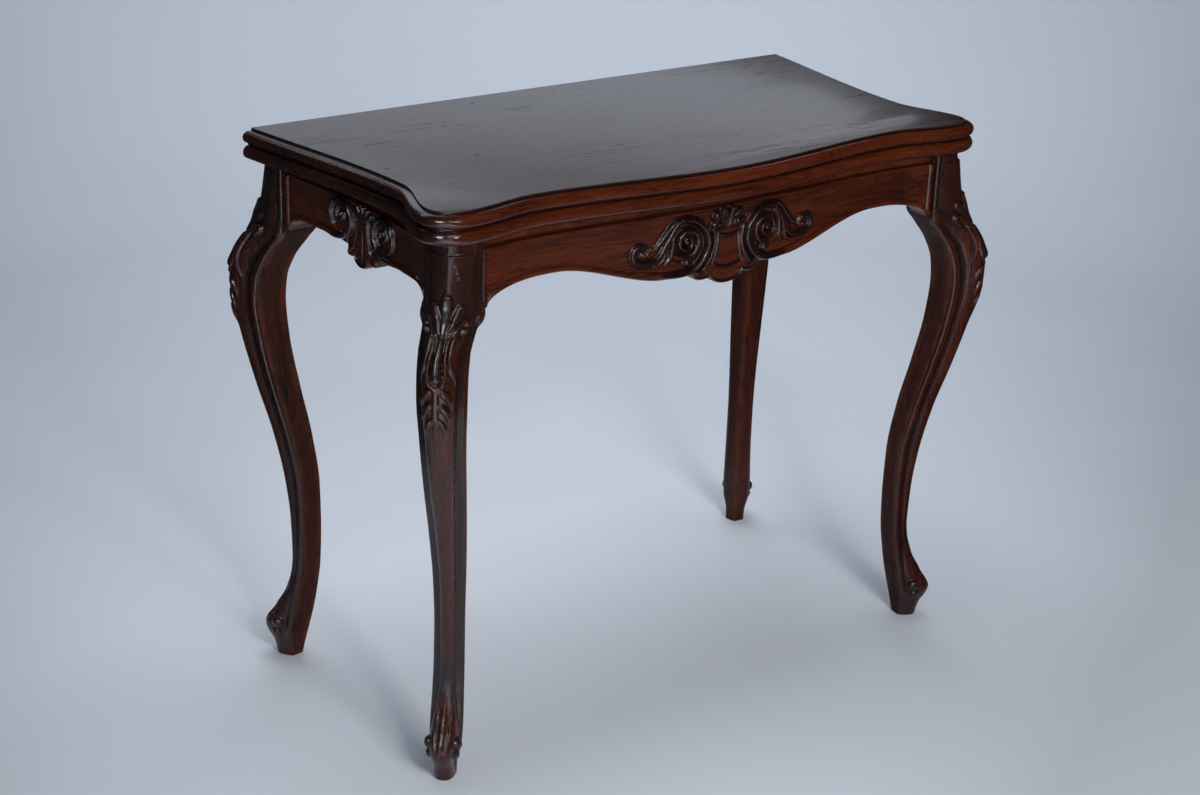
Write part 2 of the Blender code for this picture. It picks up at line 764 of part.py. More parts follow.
def tenon_box(place, end, inner, face, side, grow):
    """Corners of a tenon at one end of an apron; grown by a clearance it is the mortise."""
    middle = (inner + face) / 2
    start = end - TENON_THICK / 2
    reach = end + FIT_GAP + TENON_LENGTH + grow
    high = FRAME_TOP - TENON_TOP_DROP + grow
    low = FRAME_TOP - TENON_TOP_DROP - TENON_HEIGHT - grow
    a = place(side * start, middle - TENON_THICK / 2 - grow, low)
    b = place(side * reach, middle + TENON_THICK / 2 + grow, high)
    return tuple(map(min, a, b)), tuple(map(max, a, b))


def front_ends():
    return POST_INNER_X - FIT_GAP, APRON_INNER_Y, FRONT_FACE_END


def back_ends():
    return POST_INNER_X - FIT_GAP, APRON_INNER_Y, BACK_FACE


def side_ends():
    return POST_INNER_Y - FIT_GAP, APRON_INNER_X, SIDE_FACE_END


def mortises(name, corner):
    """Cutters for the two tenons that enter one leg."""
    across = (front_place, front_ends()) if corner[1] < 0 else (back_place, back_ends())
    along = (left_place, side_ends()) if corner[0] < 0 else (right_place, side_ends())
    cutters = []
    for label, (place, ends), side in (("long", across, corner[0]), ("short", along, corner[1])):
        low, high = tenon_box(place, *ends, side, FIT_GAP)
        cutters.append(box(f"{name}_mortise_{label}", low, high))
    return cutters


def shaped_apron(name, place, face, edge, ends, steps, material):
    """A moulded apron with a tenon at each end."""
    end, inner, _ = ends
    rings = []
    for s, raised in apron_stations(end, steps):
        section = moulded_section(s, inner, face(s), edge(s), raised)
        rings.append([place(*point) for point in section])
    obj = loft(name, rings, material)
    for side in (-1, 1):
        join(obj, box(f"{name}_tenon_{side}", *tenon_box(place, *ends, side, 0.0)))
    return obj


def plain_apron(name, place, face, edge, ends, material):
    """The straight back apron with a tenon at each end."""
    end, inner, _ = ends
    a = place(-end, inner, edge(0.0))
    b = place(end, face(0.0), FRAME_TOP)
    obj = box(name, tuple(map(min, a, b)), tuple(map(max, a, b)), material)
    for side in (-1, 1):
        join(obj, box(f"{name}_tenon_{side}", *tenon_box(place, *ends, side, 0.0)))
    return obj


# Carving on the aprons


def ribbon(name, path, widths, place, face):
    """A carved rounded band that follows a path of (along, height) points on an apron's face."""
    points = np.array(path)
    tangents = np.gradient(points, axis=0)
    normals = np.stack([-tangents[:, 1], tangents[:, 0]], axis=1)
    normals /= np.linalg.norm(normals, axis=1)[:, None]
    rings = []
    for (s, z), (ns, nz), width in zip(points, normals, widths):
        half = width / 2
        crest = CARVING_OUT * min(1.0, width / SCROLL_WIDTH)
        section = ((-half, -CARVING_SINK), (-half, crest * BAND_SHOULDER), (-half * BAND_CREST, crest))
        section += tuple((-a, b) for a, b in reversed(section))
        base = face(s)
        rings.append([place(s + ns * a, base + b, z + nz * a) for a, b in section])
    return loft(name, rings)


def spiral(centre, radius, turns, mirror):
    """Points of a scroll that opens from its eye; mirror is -1 for the left one of a pair."""
    count = int(SCROLL_STEPS * turns)
    points = []
    for i in range(count + 1):
        share = i / count
        a = SCROLL_END - 2 * math.pi * turns * (1 - share)
        r = SCROLL_EYE + (radius - SCROLL_EYE) * share
        points.append((mirror * (centre[0] + r * math.cos(a)), centre[1] + r * math.sin(a)))
    return points


def lobed_edge(half_width, middle_half, shoulder, middle_depth, side_depth):
    """Three round lobes from right to left that hang from a shoulder, the middle one deepest."""
    outer = (half_width - middle_half) / 2
    lobes = (
        (middle_half + outer, outer, side_depth),
        (0.0, middle_half, middle_depth),
        (-middle_half - outer, outer, side_depth),
    )
    points = [(half_width, FRAME_TOP - shoulder)]
    for centre, half, depth in lobes:
        for i in range(1, EAR_STEPS + 1):
            a = math.pi * i / EAR_STEPS
            points.append((centre + half * math.cos(a), FRAME_TOP - shoulder - depth * math.sin(a)))
    return points


def carved_plate(name, outline, place, out):
    rings = [[place(s, level, z) for s, z in outline] for level in (out - PLATE_THICK, out)]
    return loft(name, rings)


def plate_outline(top_drop, top_half, lip_drop, lip_half, middle_half):
    """Carved plate: straight top, hollow sides and a lip of three lobes."""
    sides = []
    for i in range(EAR_STEPS):
        share = i / EAR_STEPS
        half = top_half + (lip_half - top_half) * share**PLATE_HOLLOW
        sides.append((half, FRAME_TOP - top_drop - (lip_drop - top_drop) * share))
    lip = lobed_edge(lip_half, middle_half, lip_drop, LIP_MIDDLE_DEPTH, LIP_SIDE_DEPTH)
    return sides + lip + [(-s, z) for s, z in reversed(sides)]


def carve_front(apron):
    """Cartouche of the front apron: lipped shield, shell, paired scrolls and curled leaf tails."""
    outline = plate_outline(SHIELD_TOP_DROP, SHIELD_HALF_WIDTH, LIP_DROP, LIP_HALF_WIDTH, LIP_MIDDLE_HALF)
    join(apron, carved_plate("front_shield", outline, front_place, FRONT_FACE_MID + PLATE_OUT))
    root = FRAME_TOP - SHELL_DROP
    for i, a in enumerate(tapered(SHELL_LOBES, SHELL_EDGE, math.pi - SHELL_EDGE)):
        reaches = tapered(len(SHELL_WIDTHS), SHELL_RADIUS * SHELL_ROOT, SHELL_RADIUS)
        path = [(r * math.cos(a), root + r * math.sin(a) * SHELL_SQUASH) for r in reaches]
        join(apron, ribbon(f"front_shell_{i}", path, SHELL_WIDTHS, front_place, front_face))
    eye = FRAME_TOP - SCROLL_DROP
    for side in (-1, 1):
        path = spiral((SCROLL_X, eye), SCROLL_RADIUS, SCROLL_TURNS, side)
        widths = tapered(len(path), SCROLL_EYE_WIDTH, SCROLL_WIDTH)
        join(apron, ribbon(f"front_scroll_{side}", path, widths, front_place, front_face))
        join(apron, leaf_tail(side))


def leaf_tail(side):
    """Leaf that falls from the top of a scroll and curls up at its outer end."""
    curl = FRAME_TOP - CURL_DROP
    top = FRAME_TOP - TAIL_DROP
    foot = curl - CURL_RADIUS
    path = []
    for i in range(TAIL_STEPS):
        share = i / TAIL_STEPS
        s = TAIL_X + (CURL_X - TAIL_X) * share
        path.append((side * s, foot + (top - foot) * (1 - share) ** TAIL_FALL))
    path += [(side * s, z) for s, z in tail_curl(curl)]
    widths = tapered(len(path), TAIL_WIDTH, SCROLL_EYE_WIDTH)
    return ribbon(f"front_tail_{side}", path, widths, front_place, front_face)


def tail_curl(curl):
    """Points of the small curl, from its foot upward and inward."""
    points = []
    for i in range(CURL_STEPS + 1):
        share = i / CURL_STEPS
        a = CURL_SWEEP * share - math.pi / 2
        r = CURL_RADIUS + (SCROLL_EYE - CURL_RADIUS) * share
        points.append((CURL_X + r * math.cos(a), curl + r * math.sin(a)))
    return points


def carve_side(apron, label, place):
    """Pendant of a side apron: a hanging leaf between two scrolls."""
    lip = (PENDANT_DROP, PENDANT_LIP_HALF, PENDANT_MIDDLE_HALF)
    outline = plate_outline(PENDANT_TOP_DROP, PENDANT_HALF_WIDTH, *lip)
    join(apron, carved_plate(f"{label}_pendant", outline, place, SIDE_FACE_MID + PLATE_OUT))
    eye = FRAME_TOP - SIDE_SCROLL_DROP
    for side in (-1, 1):
        path = spiral((SIDE_SCROLL_Y, eye), SIDE_SCROLL_RADIUS, SIDE_SCROLL_TURNS, side)
        widths = tapered(len(path), SCROLL_EYE_WIDTH, SIDE_SCROLL_WIDTH)
        join(apron, ribbon(f"{label}_scroll_{side}", path, widths, place, side_face))


# Assemblies


def build_frame(wood, plain_wood, brass):
    """Legs, aprons, card well and the rail that carries the pivot."""
    pieces = []
    for depth, sy in (("front", -1), ("back", 1)):
        for hand, sx in (("left", -1), ("right", 1)):
            pieces.append(leg(f"leg_{depth}_{hand}", (sx, sy), wood))
    shape = (front_face, front_edge, front_ends(), FRONT_APRON_STEPS)
    front = shaped_apron("front_apron", front_place, *shape, wood)
    carve_front(front)
    shape = (side_face, side_edge, side_ends(), SIDE_APRON_STEPS)
    left = shaped_apron("left_apron", left_place, *shape, wood)
    carve_side(left, "left", left_place)
    right = shaped_apron("right_apron", right_place, *shape, wood)
    carve_side(right, "right", right_place)
    back = plain_apron("back_apron", back_place, back_face, back_edge, back_ends(), wood)
    pieces += [front, left, right, back]
    return pieces + build_well(plain_wood) + build_rail(plain_wood, brass)


def build_well(wood):
    """Open compartment under the left half of the top."""
    depth = APRON_INNER_Y - FIT_GAP
    left = -APRON_INNER_X + FIT_GAP
    post_x = -POST_INNER_X + FIT_GAP
    post_y = POST_INNER_Y - FIT_GAP
    right = PARTITION_THICK
    outline = [(left, -post_y), (post_x, -post_y), (post_x, -depth), (right, -depth)]
    outline += [(x, -y) for x, y in reversed(outline)]
    floor = prism("well_bottom", outline, WELL_BASE, WELL_FLOOR, wood)
    half = PARTITION_THICK / 2
    low = (-half, -depth, WELL_FLOOR + FIT_GAP)
    partition = box("well_partition", low, (half, depth, FRAME_TOP), wood)
    pieces = [floor, partition]
    for label, sy in (("front", -1), ("back", 1)):
        near, far = sorted((sy * depth, sy * (depth - LEDGER_WIDTH)))
        top = WELL_BASE - FIT_GAP
        start = (post_x, near, top - LEDGER_HEIGHT)
        pieces.append(box(f"ledger_{label}", start, (right, far, top), wood))
    return pieces


def build_rail(wood, brass):
    """Cross rail under the pivot, with its brass bush."""
    depth = APRON_INNER_Y - FIT_GAP
    low = (PIVOT[0] - RAIL_HALF_WIDTH, -depth, RAIL_BASE)
    rail = box("pivot_rail", low, (PIVOT[0] + RAIL_HALF_WIDTH, depth, FRAME_TOP), wood)
    hole = BUSH_OUTER + FIT_GAP
    through = ((hole, -RAIL_THICK * 2), (hole, RAIL_THICK))
    cut(rail, turned("bush_hole", through, (*PIVOT, FRAME_TOP)))
    inner = BOLT_RADIUS + BOLT_CLEAR
    sleeve = ((BUSH_OUTER, -RAIL_THICK), (BUSH_OUTER, 0.0), (inner, 0.0), (inner, -RAIL_THICK))
    bush = turned("pivot_bush", sleeve, (*PIVOT, FRAME_TOP), brass, closed=True)
    return [rail, bush]


def pivot_screw_places():
    radius = (FLANGE_RADIUS + BOLT_RADIUS) / 2
    return [(PIVOT[0] + x, PIVOT[1] + y) for y, x in circle(radius, FLANGE_SCREWS)]


def build_pivot(lower_leaf, iron, plain_wood):
    """Bolt, washer, nut and stop peg that turn with the lower leaf."""
    shank_end = RAIL_BASE - FIT_GAP - WASHER_THICK - FIT_GAP - NUT_HEIGHT - BOLT_END
    shank = shank_end - LOWER_BASE
    profile = [(BOLT_RADIUS, shank), (BOLT_RADIUS, 0.0), (FLANGE_RADIUS, 0.0)]
    profile.append((FLANGE_RADIUS, FLANGE_THICK))
    bolt = turned("pivot_bolt", profile, (*PIVOT, LOWER_BASE), iron)
    recess = FLANGE_RADIUS + FIT_GAP
    seat = ((recess, -FLANGE_THICK), (recess, FLANGE_THICK + FIT_GAP))
    holes = screw_holes("pivot_screw_holes", pivot_screw_places(), LOWER_BASE, False)
    cut(lower_leaf, turned("flange_seat", seat, (*PIVOT, LOWER_BASE)), holes)
    cut(bolt, holes)
    pieces = [bolt]
    for i, (x, y) in enumerate(pivot_screw_places(), 1):
        profile = facing(screw_profile(0.0), False)
        pieces.append(turned(f"pivot_screw_{i}", profile, (x, y, LOWER_BASE), iron, SCREW_STEPS))
    top = RAIL_BASE - FIT_GAP
    inner = BOLT_RADIUS + FIT_GAP
    for name, radius, height, steps in (
        ("pivot_washer", WASHER_RADIUS, WASHER_THICK, ROUND_STEPS),
        ("pivot_nut", NUT_RADIUS, NUT_HEIGHT, ROUND_STEPS // 2),
    ):
        bored = turned(name, ((radius, -height), (radius, 0.0)), (*PIVOT, top), iron, steps)
        bore = ((inner, -height * 2), (inner, height))
        cut(bored, turned(f"{name}_bore", bore, (*PIVOT, top)))
        pieces.append(bored)
        top -= height + FIT_GAP
    reach = STOP_RADIUS / DIAGONAL
    peg_place = (PIVOT[0] - reach, PIVOT[1] + reach, LOWER_BASE)
    peg = turned("stop_peg", ((PEG_RADIUS, -PEG_REACH), (PEG_RADIUS, PEG_SEAT)), peg_place, plain_wood)
    hole = PEG_RADIUS + FIT_GAP
    peg_seat = ((hole, -PEG_SEAT), (hole, PEG_SEAT + FIT_GAP))
    cut(lower_leaf, turned("peg_seat", peg_seat, peg_place))
    return pieces + [peg]


def build_leaf(is_lower, wood, cloth, brass):
    """One leaf of the top with its cloth, hinge plates and screws; the lower one has the pins."""
    label = "lower" if is_lower else "upper"
    base = LOWER_BASE if is_lower else UPPER_BASE
    face = LOWER_TOP if is_lower else UPPER_BASE
    if is_lower:
        profile = [(ARRIS_OUT, LEAF_THICK)] + nose_profile(ARRIS_OUT, ARRIS_HEIGHT / 2, 0.0)
    else:
        crown = [(0.0, LEAF_THICK), (0.0, LEAF_THICK - QUIRK_STEP)]
        profile = crown + nose_profile(QUIRK_LEDGE, QUIRK_STEP + QUIRK_FALL, ARRIS_OUT)
    board = leaf(f"{label}_leaf", base, profile, wood)
    inward = -1 if is_lower else 1
    floor = face + inward * (CLOTH_THICK + FIT_GAP)
    low, high = sorted((floor, face - inward * CUT_PAST))
    cut(board, prism(f"{label}_cloth_recess", cloth_outline(0.0, CLOTH_THICK), low, high))
    low, high = sorted((face, face + inward * CLOTH_THICK))
    pieces = [board, prism(f"{label}_baize", cloth_outline(FIT_GAP, -FIT_GAP), low, high, cloth)]
    for hand, sx in (("left", -1), ("right", 1)):
        name = f"{label}_hinge_plate_{hand}"
        centre = sx * HINGE_X
        plate = hinge_plate(name, centre, is_lower, brass)
        holes = screw_holes(f"{name}_holes", screw_places(centre), face, is_lower)
        cut(plate, holes)
        cut(board, *hinge_recess(name, centre, is_lower), holes)
        pieces.append(plate)
        for i, (x, y) in enumerate(screw_places(centre), 1):
            screw = facing(screw_profile(0.0), is_lower)
            screw_name = f"{label}_hinge_screw_{hand}_{i}"
            pieces.append(turned(screw_name, screw, (x, y, face), brass, SCREW_STEPS))
        if is_lower:
            reach = HINGE_LENGTH / 2
            pin = ((PIN_RADIUS, -reach), (PIN_RADIUS, reach))
            axis = (centre, FOLD_Y, FOLD_Z)
            pieces.append(turned(f"hinge_pin_{hand}", pin, axis, brass, SCREW_STEPS, along="X"))
    return pieces


def axis_empty(name, place, parent=None):
    """An empty on a joint's axis that carries the pieces which move with it."""
    empty = bpy.data.objects.new(name, None)
    empty.location = place
    bpy.context.scene.collection.objects.link(empty)
    if parent is not None:
        attach([empty], parent)
    return empty


def attach(pieces, parent):
    """Parents pieces to an empty without moving them."""
    bpy.context.view_layer.update()
    for piece in pieces:
        piece.parent = parent
        piece.matrix_parent_inverse = parent.matrix_world.inverted()


def main():
    clear_scene()
    wood = finish("mahogany", MAHOGANY, POLISHED)
    plain_wood = finish("secondary_wood", SECONDARY_WOOD, SAWN)
    cloth = finish("baize", GREEN_CLOTH, NAPPED)
    brass = finish("brass", BRASS, DULL_METAL, 1.0)
    iron = finish("iron", IRON, DULL_METAL, 1.0)
    frame_root = axis_empty("frame_root", (0.0, 0.0, 0.0))
    swivel_axis = axis_empty("swivel_axis", (*PIVOT, FRAME_TOP), frame_root)
    fold_axis = axis_empty("fold_axis", (0.0, FOLD_Y, FOLD_Z), swivel_axis)
    attach(build_frame(wood, plain_wood, brass), frame_root)
    lower = build_leaf(True, wood, cloth, brass)
    lower += build_pivot(lower[0], iron, plain_wood)
    attach(lower, swivel_axis)
    attach(build_leaf(False, wood, cloth, brass), fold_axis)


main()
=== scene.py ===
"""Looks of a swivel-top card table: carved legs and aprons, moulded leaves, baize, brass and studio."""

import logging
import math
from dataclasses import dataclass
from enum import Enum
from typing import Iterable, Iterator

import bmesh
import bpy
import numpy as np
from mathutils import Matrix, Vector


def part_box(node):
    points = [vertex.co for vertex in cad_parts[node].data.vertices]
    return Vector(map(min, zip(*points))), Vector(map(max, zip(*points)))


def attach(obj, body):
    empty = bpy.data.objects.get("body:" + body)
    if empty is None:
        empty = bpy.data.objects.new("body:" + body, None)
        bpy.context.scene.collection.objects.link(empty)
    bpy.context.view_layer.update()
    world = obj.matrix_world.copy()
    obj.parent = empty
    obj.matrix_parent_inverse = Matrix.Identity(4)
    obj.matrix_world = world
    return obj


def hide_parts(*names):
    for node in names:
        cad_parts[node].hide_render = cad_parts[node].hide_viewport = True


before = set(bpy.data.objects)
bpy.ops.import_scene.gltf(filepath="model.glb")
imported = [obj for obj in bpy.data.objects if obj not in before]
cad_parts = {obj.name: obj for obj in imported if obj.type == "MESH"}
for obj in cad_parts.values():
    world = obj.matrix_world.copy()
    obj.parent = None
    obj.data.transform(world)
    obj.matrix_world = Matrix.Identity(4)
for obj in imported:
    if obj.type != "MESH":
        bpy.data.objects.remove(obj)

LOG = logging.getLogger("card_table")
Grid = np.ndarray
Piece = bpy.types.Object
Material = bpy.types.Material
Socket = bpy.types.NodeSocket
Tree = bpy.types.NodeTree
Pair = tuple[float, float]
Triple = tuple[float, float, float]
Colour = Triple
Knots = tuple[Pair, ...]

DIAGONAL = math.sqrt(2.0)
QUARTER = math.pi / 2
MM = 0.001
TINY = 1e-6
FINE_WEAR = (12, 0.0010)
BROAD_WEAR = (70, 0.0018)


# Curves and grids


def eased(knots: Knots, at: Grid, start: float | None = None, end: float | None = None) -> Grid:
    """Shape-preserving cubic through a few knots.

    Args:
        knots: (x, y) pairs with growing x.
        at: Values of x to read, held inside the knots.
        start: Slope at the first knot, or None for that of the first stretch.
        end: Slope at the last knot, or None for that of the last stretch.

    Returns:
        One y for each value of x.
    """
    xs, ys = np.array(knots, float).T
    rises = np.diff(ys) / np.diff(xs)
    slopes = np.concatenate(([rises[0]], np.zeros(len(xs) - 2), [rises[-1]]))
    before, after = rises[:-1], rises[1:]
    agree = np.nonzero(before * after > 0)[0]
    slopes[agree + 1] = 2 * before[agree] * after[agree] / (before[agree] + after[agree])
    slopes[0] = slopes[0] if start is None else start
    slopes[-1] = slopes[-1] if end is None else end
    held = np.clip(at, xs[0], xs[-1])
    k = np.clip(np.searchsorted(xs, held, side="right") - 1, 0, len(xs) - 2)
    span = xs[k + 1] - xs[k]
    t = (held - xs[k]) / span
    rise = t * t * (3 - 2 * t)
    lift = t * (1 - t) * (1 - t) * slopes[k] * span
    drop = t * t * (t - 1) * slopes[k + 1] * span
    return ys[k] + (ys[k + 1] - ys[k]) * rise + lift + drop


def ramp(value: Grid, low: float, high: float) -> Grid:
    """0 below the low value, 1 above the high one, and smooth between."""
    t = np.clip((value - low) / (high - low), 0.0, 1.0)
    return t * t * (3 - 2 * t)


def dome(x: Grid) -> Grid:
    """Half circle over -1 to 1, and 0 outside."""
    return np.sqrt(np.maximum(1 - x * x, 0.0))


def flowing(points: Knots, steps: int) -> Grid:
    """Smooth path through a few points, with some steps in each stretch; one step keeps the points.

    Args:
        points: Points to pass through.
        steps: Steps in each stretch.

    Returns:
        The points of the path.
    """
    knots = np.array(points, float)
    ends = np.vstack([2 * knots[0] - knots[1], knots, 2 * knots[-1] - knots[-2]])
    t = np.arange(steps)[:, None] / steps
    path = []
    for a, b, c, d in zip(ends, ends[1:], ends[2:], ends[3:]):
        square, cube = 2 * a - 5 * b + 4 * c - d, 3 * b - a - 3 * c + d
        path.append(0.5 * (2 * b + (c - a) * t + square * t**2 + cube * t**3))
    return np.vstack(path + [knots[-1:]])


def volute(centre: Pair, knots: Knots, steps: int) -> Grid:
    """Spiral about a centre, through (degrees, radius) knots.

    Args:
        centre: Middle of the spiral.
        knots: (degrees, radius) pairs.
        steps: How many points.

    Returns:
        The points of the spiral.
    """
    turns = np.linspace(knots[0][0], knots[-1][0], steps)
    reach, angle = eased(knots, turns), np.radians(turns)
    return np.stack([centre[0] + reach * np.cos(angle), centre[1] + reach * np.sin(angle)], axis=1)


def lobe(centre: Pair, radii: Pair, angles: Pair, steps: int = 9) -> Grid:
    """Part of an ellipse that hangs below its centre."""
    turn = np.linspace(*angles, steps)
    return np.stack([centre[0] + radii[0] * np.cos(turn), centre[1] - radii[1] * np.sin(turn)], axis=1)


def petal(foot: float, angle: float, length: float, bend: float, shares: tuple) -> Grid:
    """Line of a petal that leans out from the middle.

    Args:
        foot: Height of the petal's foot.
        angle: Lean in degrees.
        length: Length of the whole petal.
        bend: Share of the lean that comes only toward the tip.
        shares: Places along the petal.

    Returns:
        The points of the line.
    """
    share = np.array(shares)
    lean = math.radians(angle) * (1 - bend + bend * share)
    return np.stack([length * share * np.sin(lean), foot + length * share * np.cos(lean)], axis=1)


def scaled(size: float, *shares: float) -> tuple[float, ...]:
    """Shares of one size."""
    return tuple(size * share for share in shares)


def face_normals(rings: Grid) -> Grid:
    """Outward unit normals of a closed grid of rings.

    Args:
        rings: Array of rings by points by three.

    Returns:
        One normal for each point.
    """
    around = np.roll(rings, -1, axis=1) - np.roll(rings, 1, axis=1)
    normals = np.cross(around, np.gradient(rings, axis=0))
    normals /= np.maximum(np.linalg.norm(normals, axis=-1, keepdims=True), TINY * TINY)
    return normals * np.sign(np.sum(normals * (rings - rings.mean(axis=1, keepdims=True))))


def wear_masks(rings: Grid, normals: Grid, rounds: int, depth: float) -> dict[str, Grid]:
    """Where a carved surface stands proud of its neighbourhood, and where it lies below.

    Args:
        rings: Points of the finished surface.
        normals: Its outward normals.
        rounds: How many times the neighbourhood is averaged.
        depth: Height that counts as fully proud.

    Returns:
        Masks named crest and hollow, from 0 to 1.
    """
    level = rings.copy()
    for _ in range(rounds):
        around = (np.roll(level, 1, axis=1) + np.roll(level, -1, axis=1)) / 2
        along = level.copy()
        along[1:-1] = (level[:-2] + level[2:]) / 2
        level = (2 * level + around + along) / 4
    proud = np.sum((rings - level) * normals, axis=-1) / depth
    return {"crest": np.clip(proud, 0.0, 1.0), "hollow": np.clip(-proud, 0.0, 1.0)}


def worn(rings: Grid, normals: Grid) -> dict[str, Grid]:
    """Wear of a carved surface: fine crests and hollows, and the broad hollows that dirt fills."""
    fine, broad = (wear_masks(rings, normals, *wear) for wear in (FINE_WEAR, BROAD_WEAR))
    return {"crest": fine["crest"], "hollow": np.maximum(fine["hollow"], broad["hollow"])}


def darkened(hollow: Grid, height: Grid, share: float, proud: float = 0.0042, rounds: int = 14) -> Grid:
    """Mask of dirt with the old dark polish of the proudest carving added, softly past its border.

    Args:
        hollow: Mask of dirt.
        height: Height of the carving.
        share: Strength of the dark polish.
        proud: Height past which the polish is kept.
        rounds: How far it fades past its border.

    Returns:
        The new dirt mask.
    """
    patch = (height > proud).astype(float)
    for _ in range(rounds):
        wide = np.maximum(np.roll(patch, 1, axis=1), np.roll(patch, -1, axis=1))
        patch = (2 * patch + wide + (np.roll(patch, 1, axis=0) + np.roll(patch, -1, axis=0)) / 2) / 4
    return np.maximum(hollow, share * np.clip(patch, 0.0, 1.0))


# Meshes


def smooth(obj: Piece, angle: float) -> None:
    """Shades an object smooth up to an angle in degrees between its faces."""
    obj.data.shade_smooth()
    obj.data.set_sharp_from_angle(angle=math.radians(angle))


def linked(name: str, data: bpy.types.ID) -> Piece:
    """New object of the scene, at the origin.

    Args:
        name: Name of the object.
        data: What it shows.

    Returns:
        The object.
    """
    obj = bpy.data.objects.new(name, data)
    bpy.context.scene.collection.objects.link(obj)
    return obj


def new_object(name: str, points: list, faces: list, smooth_angle: float = 40.0) -> Piece:
    """Mesh object at the origin, smooth up to an angle in degrees between its faces.

    Args:
        name: Name of the object.
        points: Its points.
        faces: Point numbers of each face.
        smooth_angle: Angle in degrees past which an edge is sharp.

    Returns:
        The object.
    """
    mesh = bpy.data.meshes.new(name)
    mesh.from_pydata(points, [], faces)
    mesh.validate()
    obj = linked(name, mesh)
    smooth(obj, smooth_angle)
    return obj


def ring_faces(count: int, around: int) -> tuple[Grid, Grid]:
    """Point numbers of a grid of rings, and its quads as rows of four numbers.

    Args:
        count: How many rings.
        around: Points in each ring.

    Returns:
        The numbers and the quads.
    """
    ids = np.arange(count * around).reshape(count, around)
    after = np.roll(ids, -1, axis=1)
    return ids, np.stack([ids[:-1], after[:-1], after[1:], ids[1:]], axis=-1).reshape(-1, 4)


def skin(name: str, rings: Grid, masks: dict[str, Grid] | None = None, smooth_angle: float = 40.0) -> Piece:
    """Closed surface through rings of points, capped at both ends.

    Args:
        name: Name of the object.
        rings: Array of rings by points by three.
        masks: Values of each point, stored as attributes of the mesh.
        smooth_angle: Angle in degrees past which an edge is sharp.

    Returns:
        The object.
    """
    ids, quads = ring_faces(*rings.shape[:2])
    points = rings.reshape(-1, 3)
    caps = (ids[0][::-1], ids[-1])
    a, b, c, d = (points[quads[:, k]] for k in range(4))
    volume = np.sum(a * np.cross(b, c)) + np.sum(a * np.cross(c, d))
    for fan in (points[cap] for cap in caps):
        volume += np.sum(fan[0] * np.cross(fan[1:-1], fan[2:]))
    faces = quads.tolist() + [cap.tolist() for cap in caps]
    if volume < 0:
        faces = [face[::-1] for face in faces]
    obj = new_object(name, points.tolist(), faces, smooth_angle)
    for label, values in (masks or {}).items():
        attribute = obj.data.attributes.new(label, "FLOAT", "POINT")
        attribute.data.foreach_set("value", values.reshape(-1).astype(np.float32))
    return obj


def plain_mesh(obj: Piece) -> None:
    """Turns an object's modifiers into its mesh.

    Args:
        obj: Object to change.
    """
    graph = bpy.context.evaluated_depsgraph_get()
    made = bpy.data.meshes.new_from_object(obj.evaluated_get(graph))
    obj.modifiers.clear()
    old, obj.data = obj.data, made
    bpy.data.meshes.remove(old)


def carve_out(obj: Piece, cutters: list[Piece]) -> None:
    """Cuts the cutters out of an object and removes them.

    Args:
        obj: Object to cut.
        cutters: Closed objects, used up.
    """
    for cutter in cutters:
        step = obj.modifiers.new("recess", "BOOLEAN")
        step.operation, step.solver, step.object = "DIFFERENCE", "EXACT", cutter
    plain_mesh(obj)
    for cutter in cutters:
        bpy.data.objects.remove(cutter)


def prism(name: str, outline: Grid, low: float, high: float) -> Piece:
    """Upright block with the given plan."""
    levels = [np.column_stack([outline, np.full(len(outline), z)]) for z in (low, high)]
    return skin(name, np.stack(levels))


def disc(centre: Pair, radius: float, steps: int) -> Grid:
    """Points of a circle."""
    turn = np.arange(steps) * 2 * math.pi / steps
    return np.stack([centre[0] + radius * np.cos(turn), centre[1] + radius * np.sin(turn)], axis=1)


def hand_over(obj: Piece, material: Material | None, body: str, slot: str, *nodes: str) -> None:
    """Dresses a finished piece and ties it to the frame.

    Args:
        obj: The piece.
        material: Its finish, or None where the mesh already has one.
        body: Body that the piece moves with.
        slot: Not used.
        *nodes: Frame nodes that the piece stands for.
    """
    if material is not None:
        obj.data.materials.clear()
        obj.data.materials.append(material)
    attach(obj, body)
    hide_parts(*nodes)
    LOG.info("%s: %d faces on %s", obj.name, len(obj.data.polygons), body)


# Carving


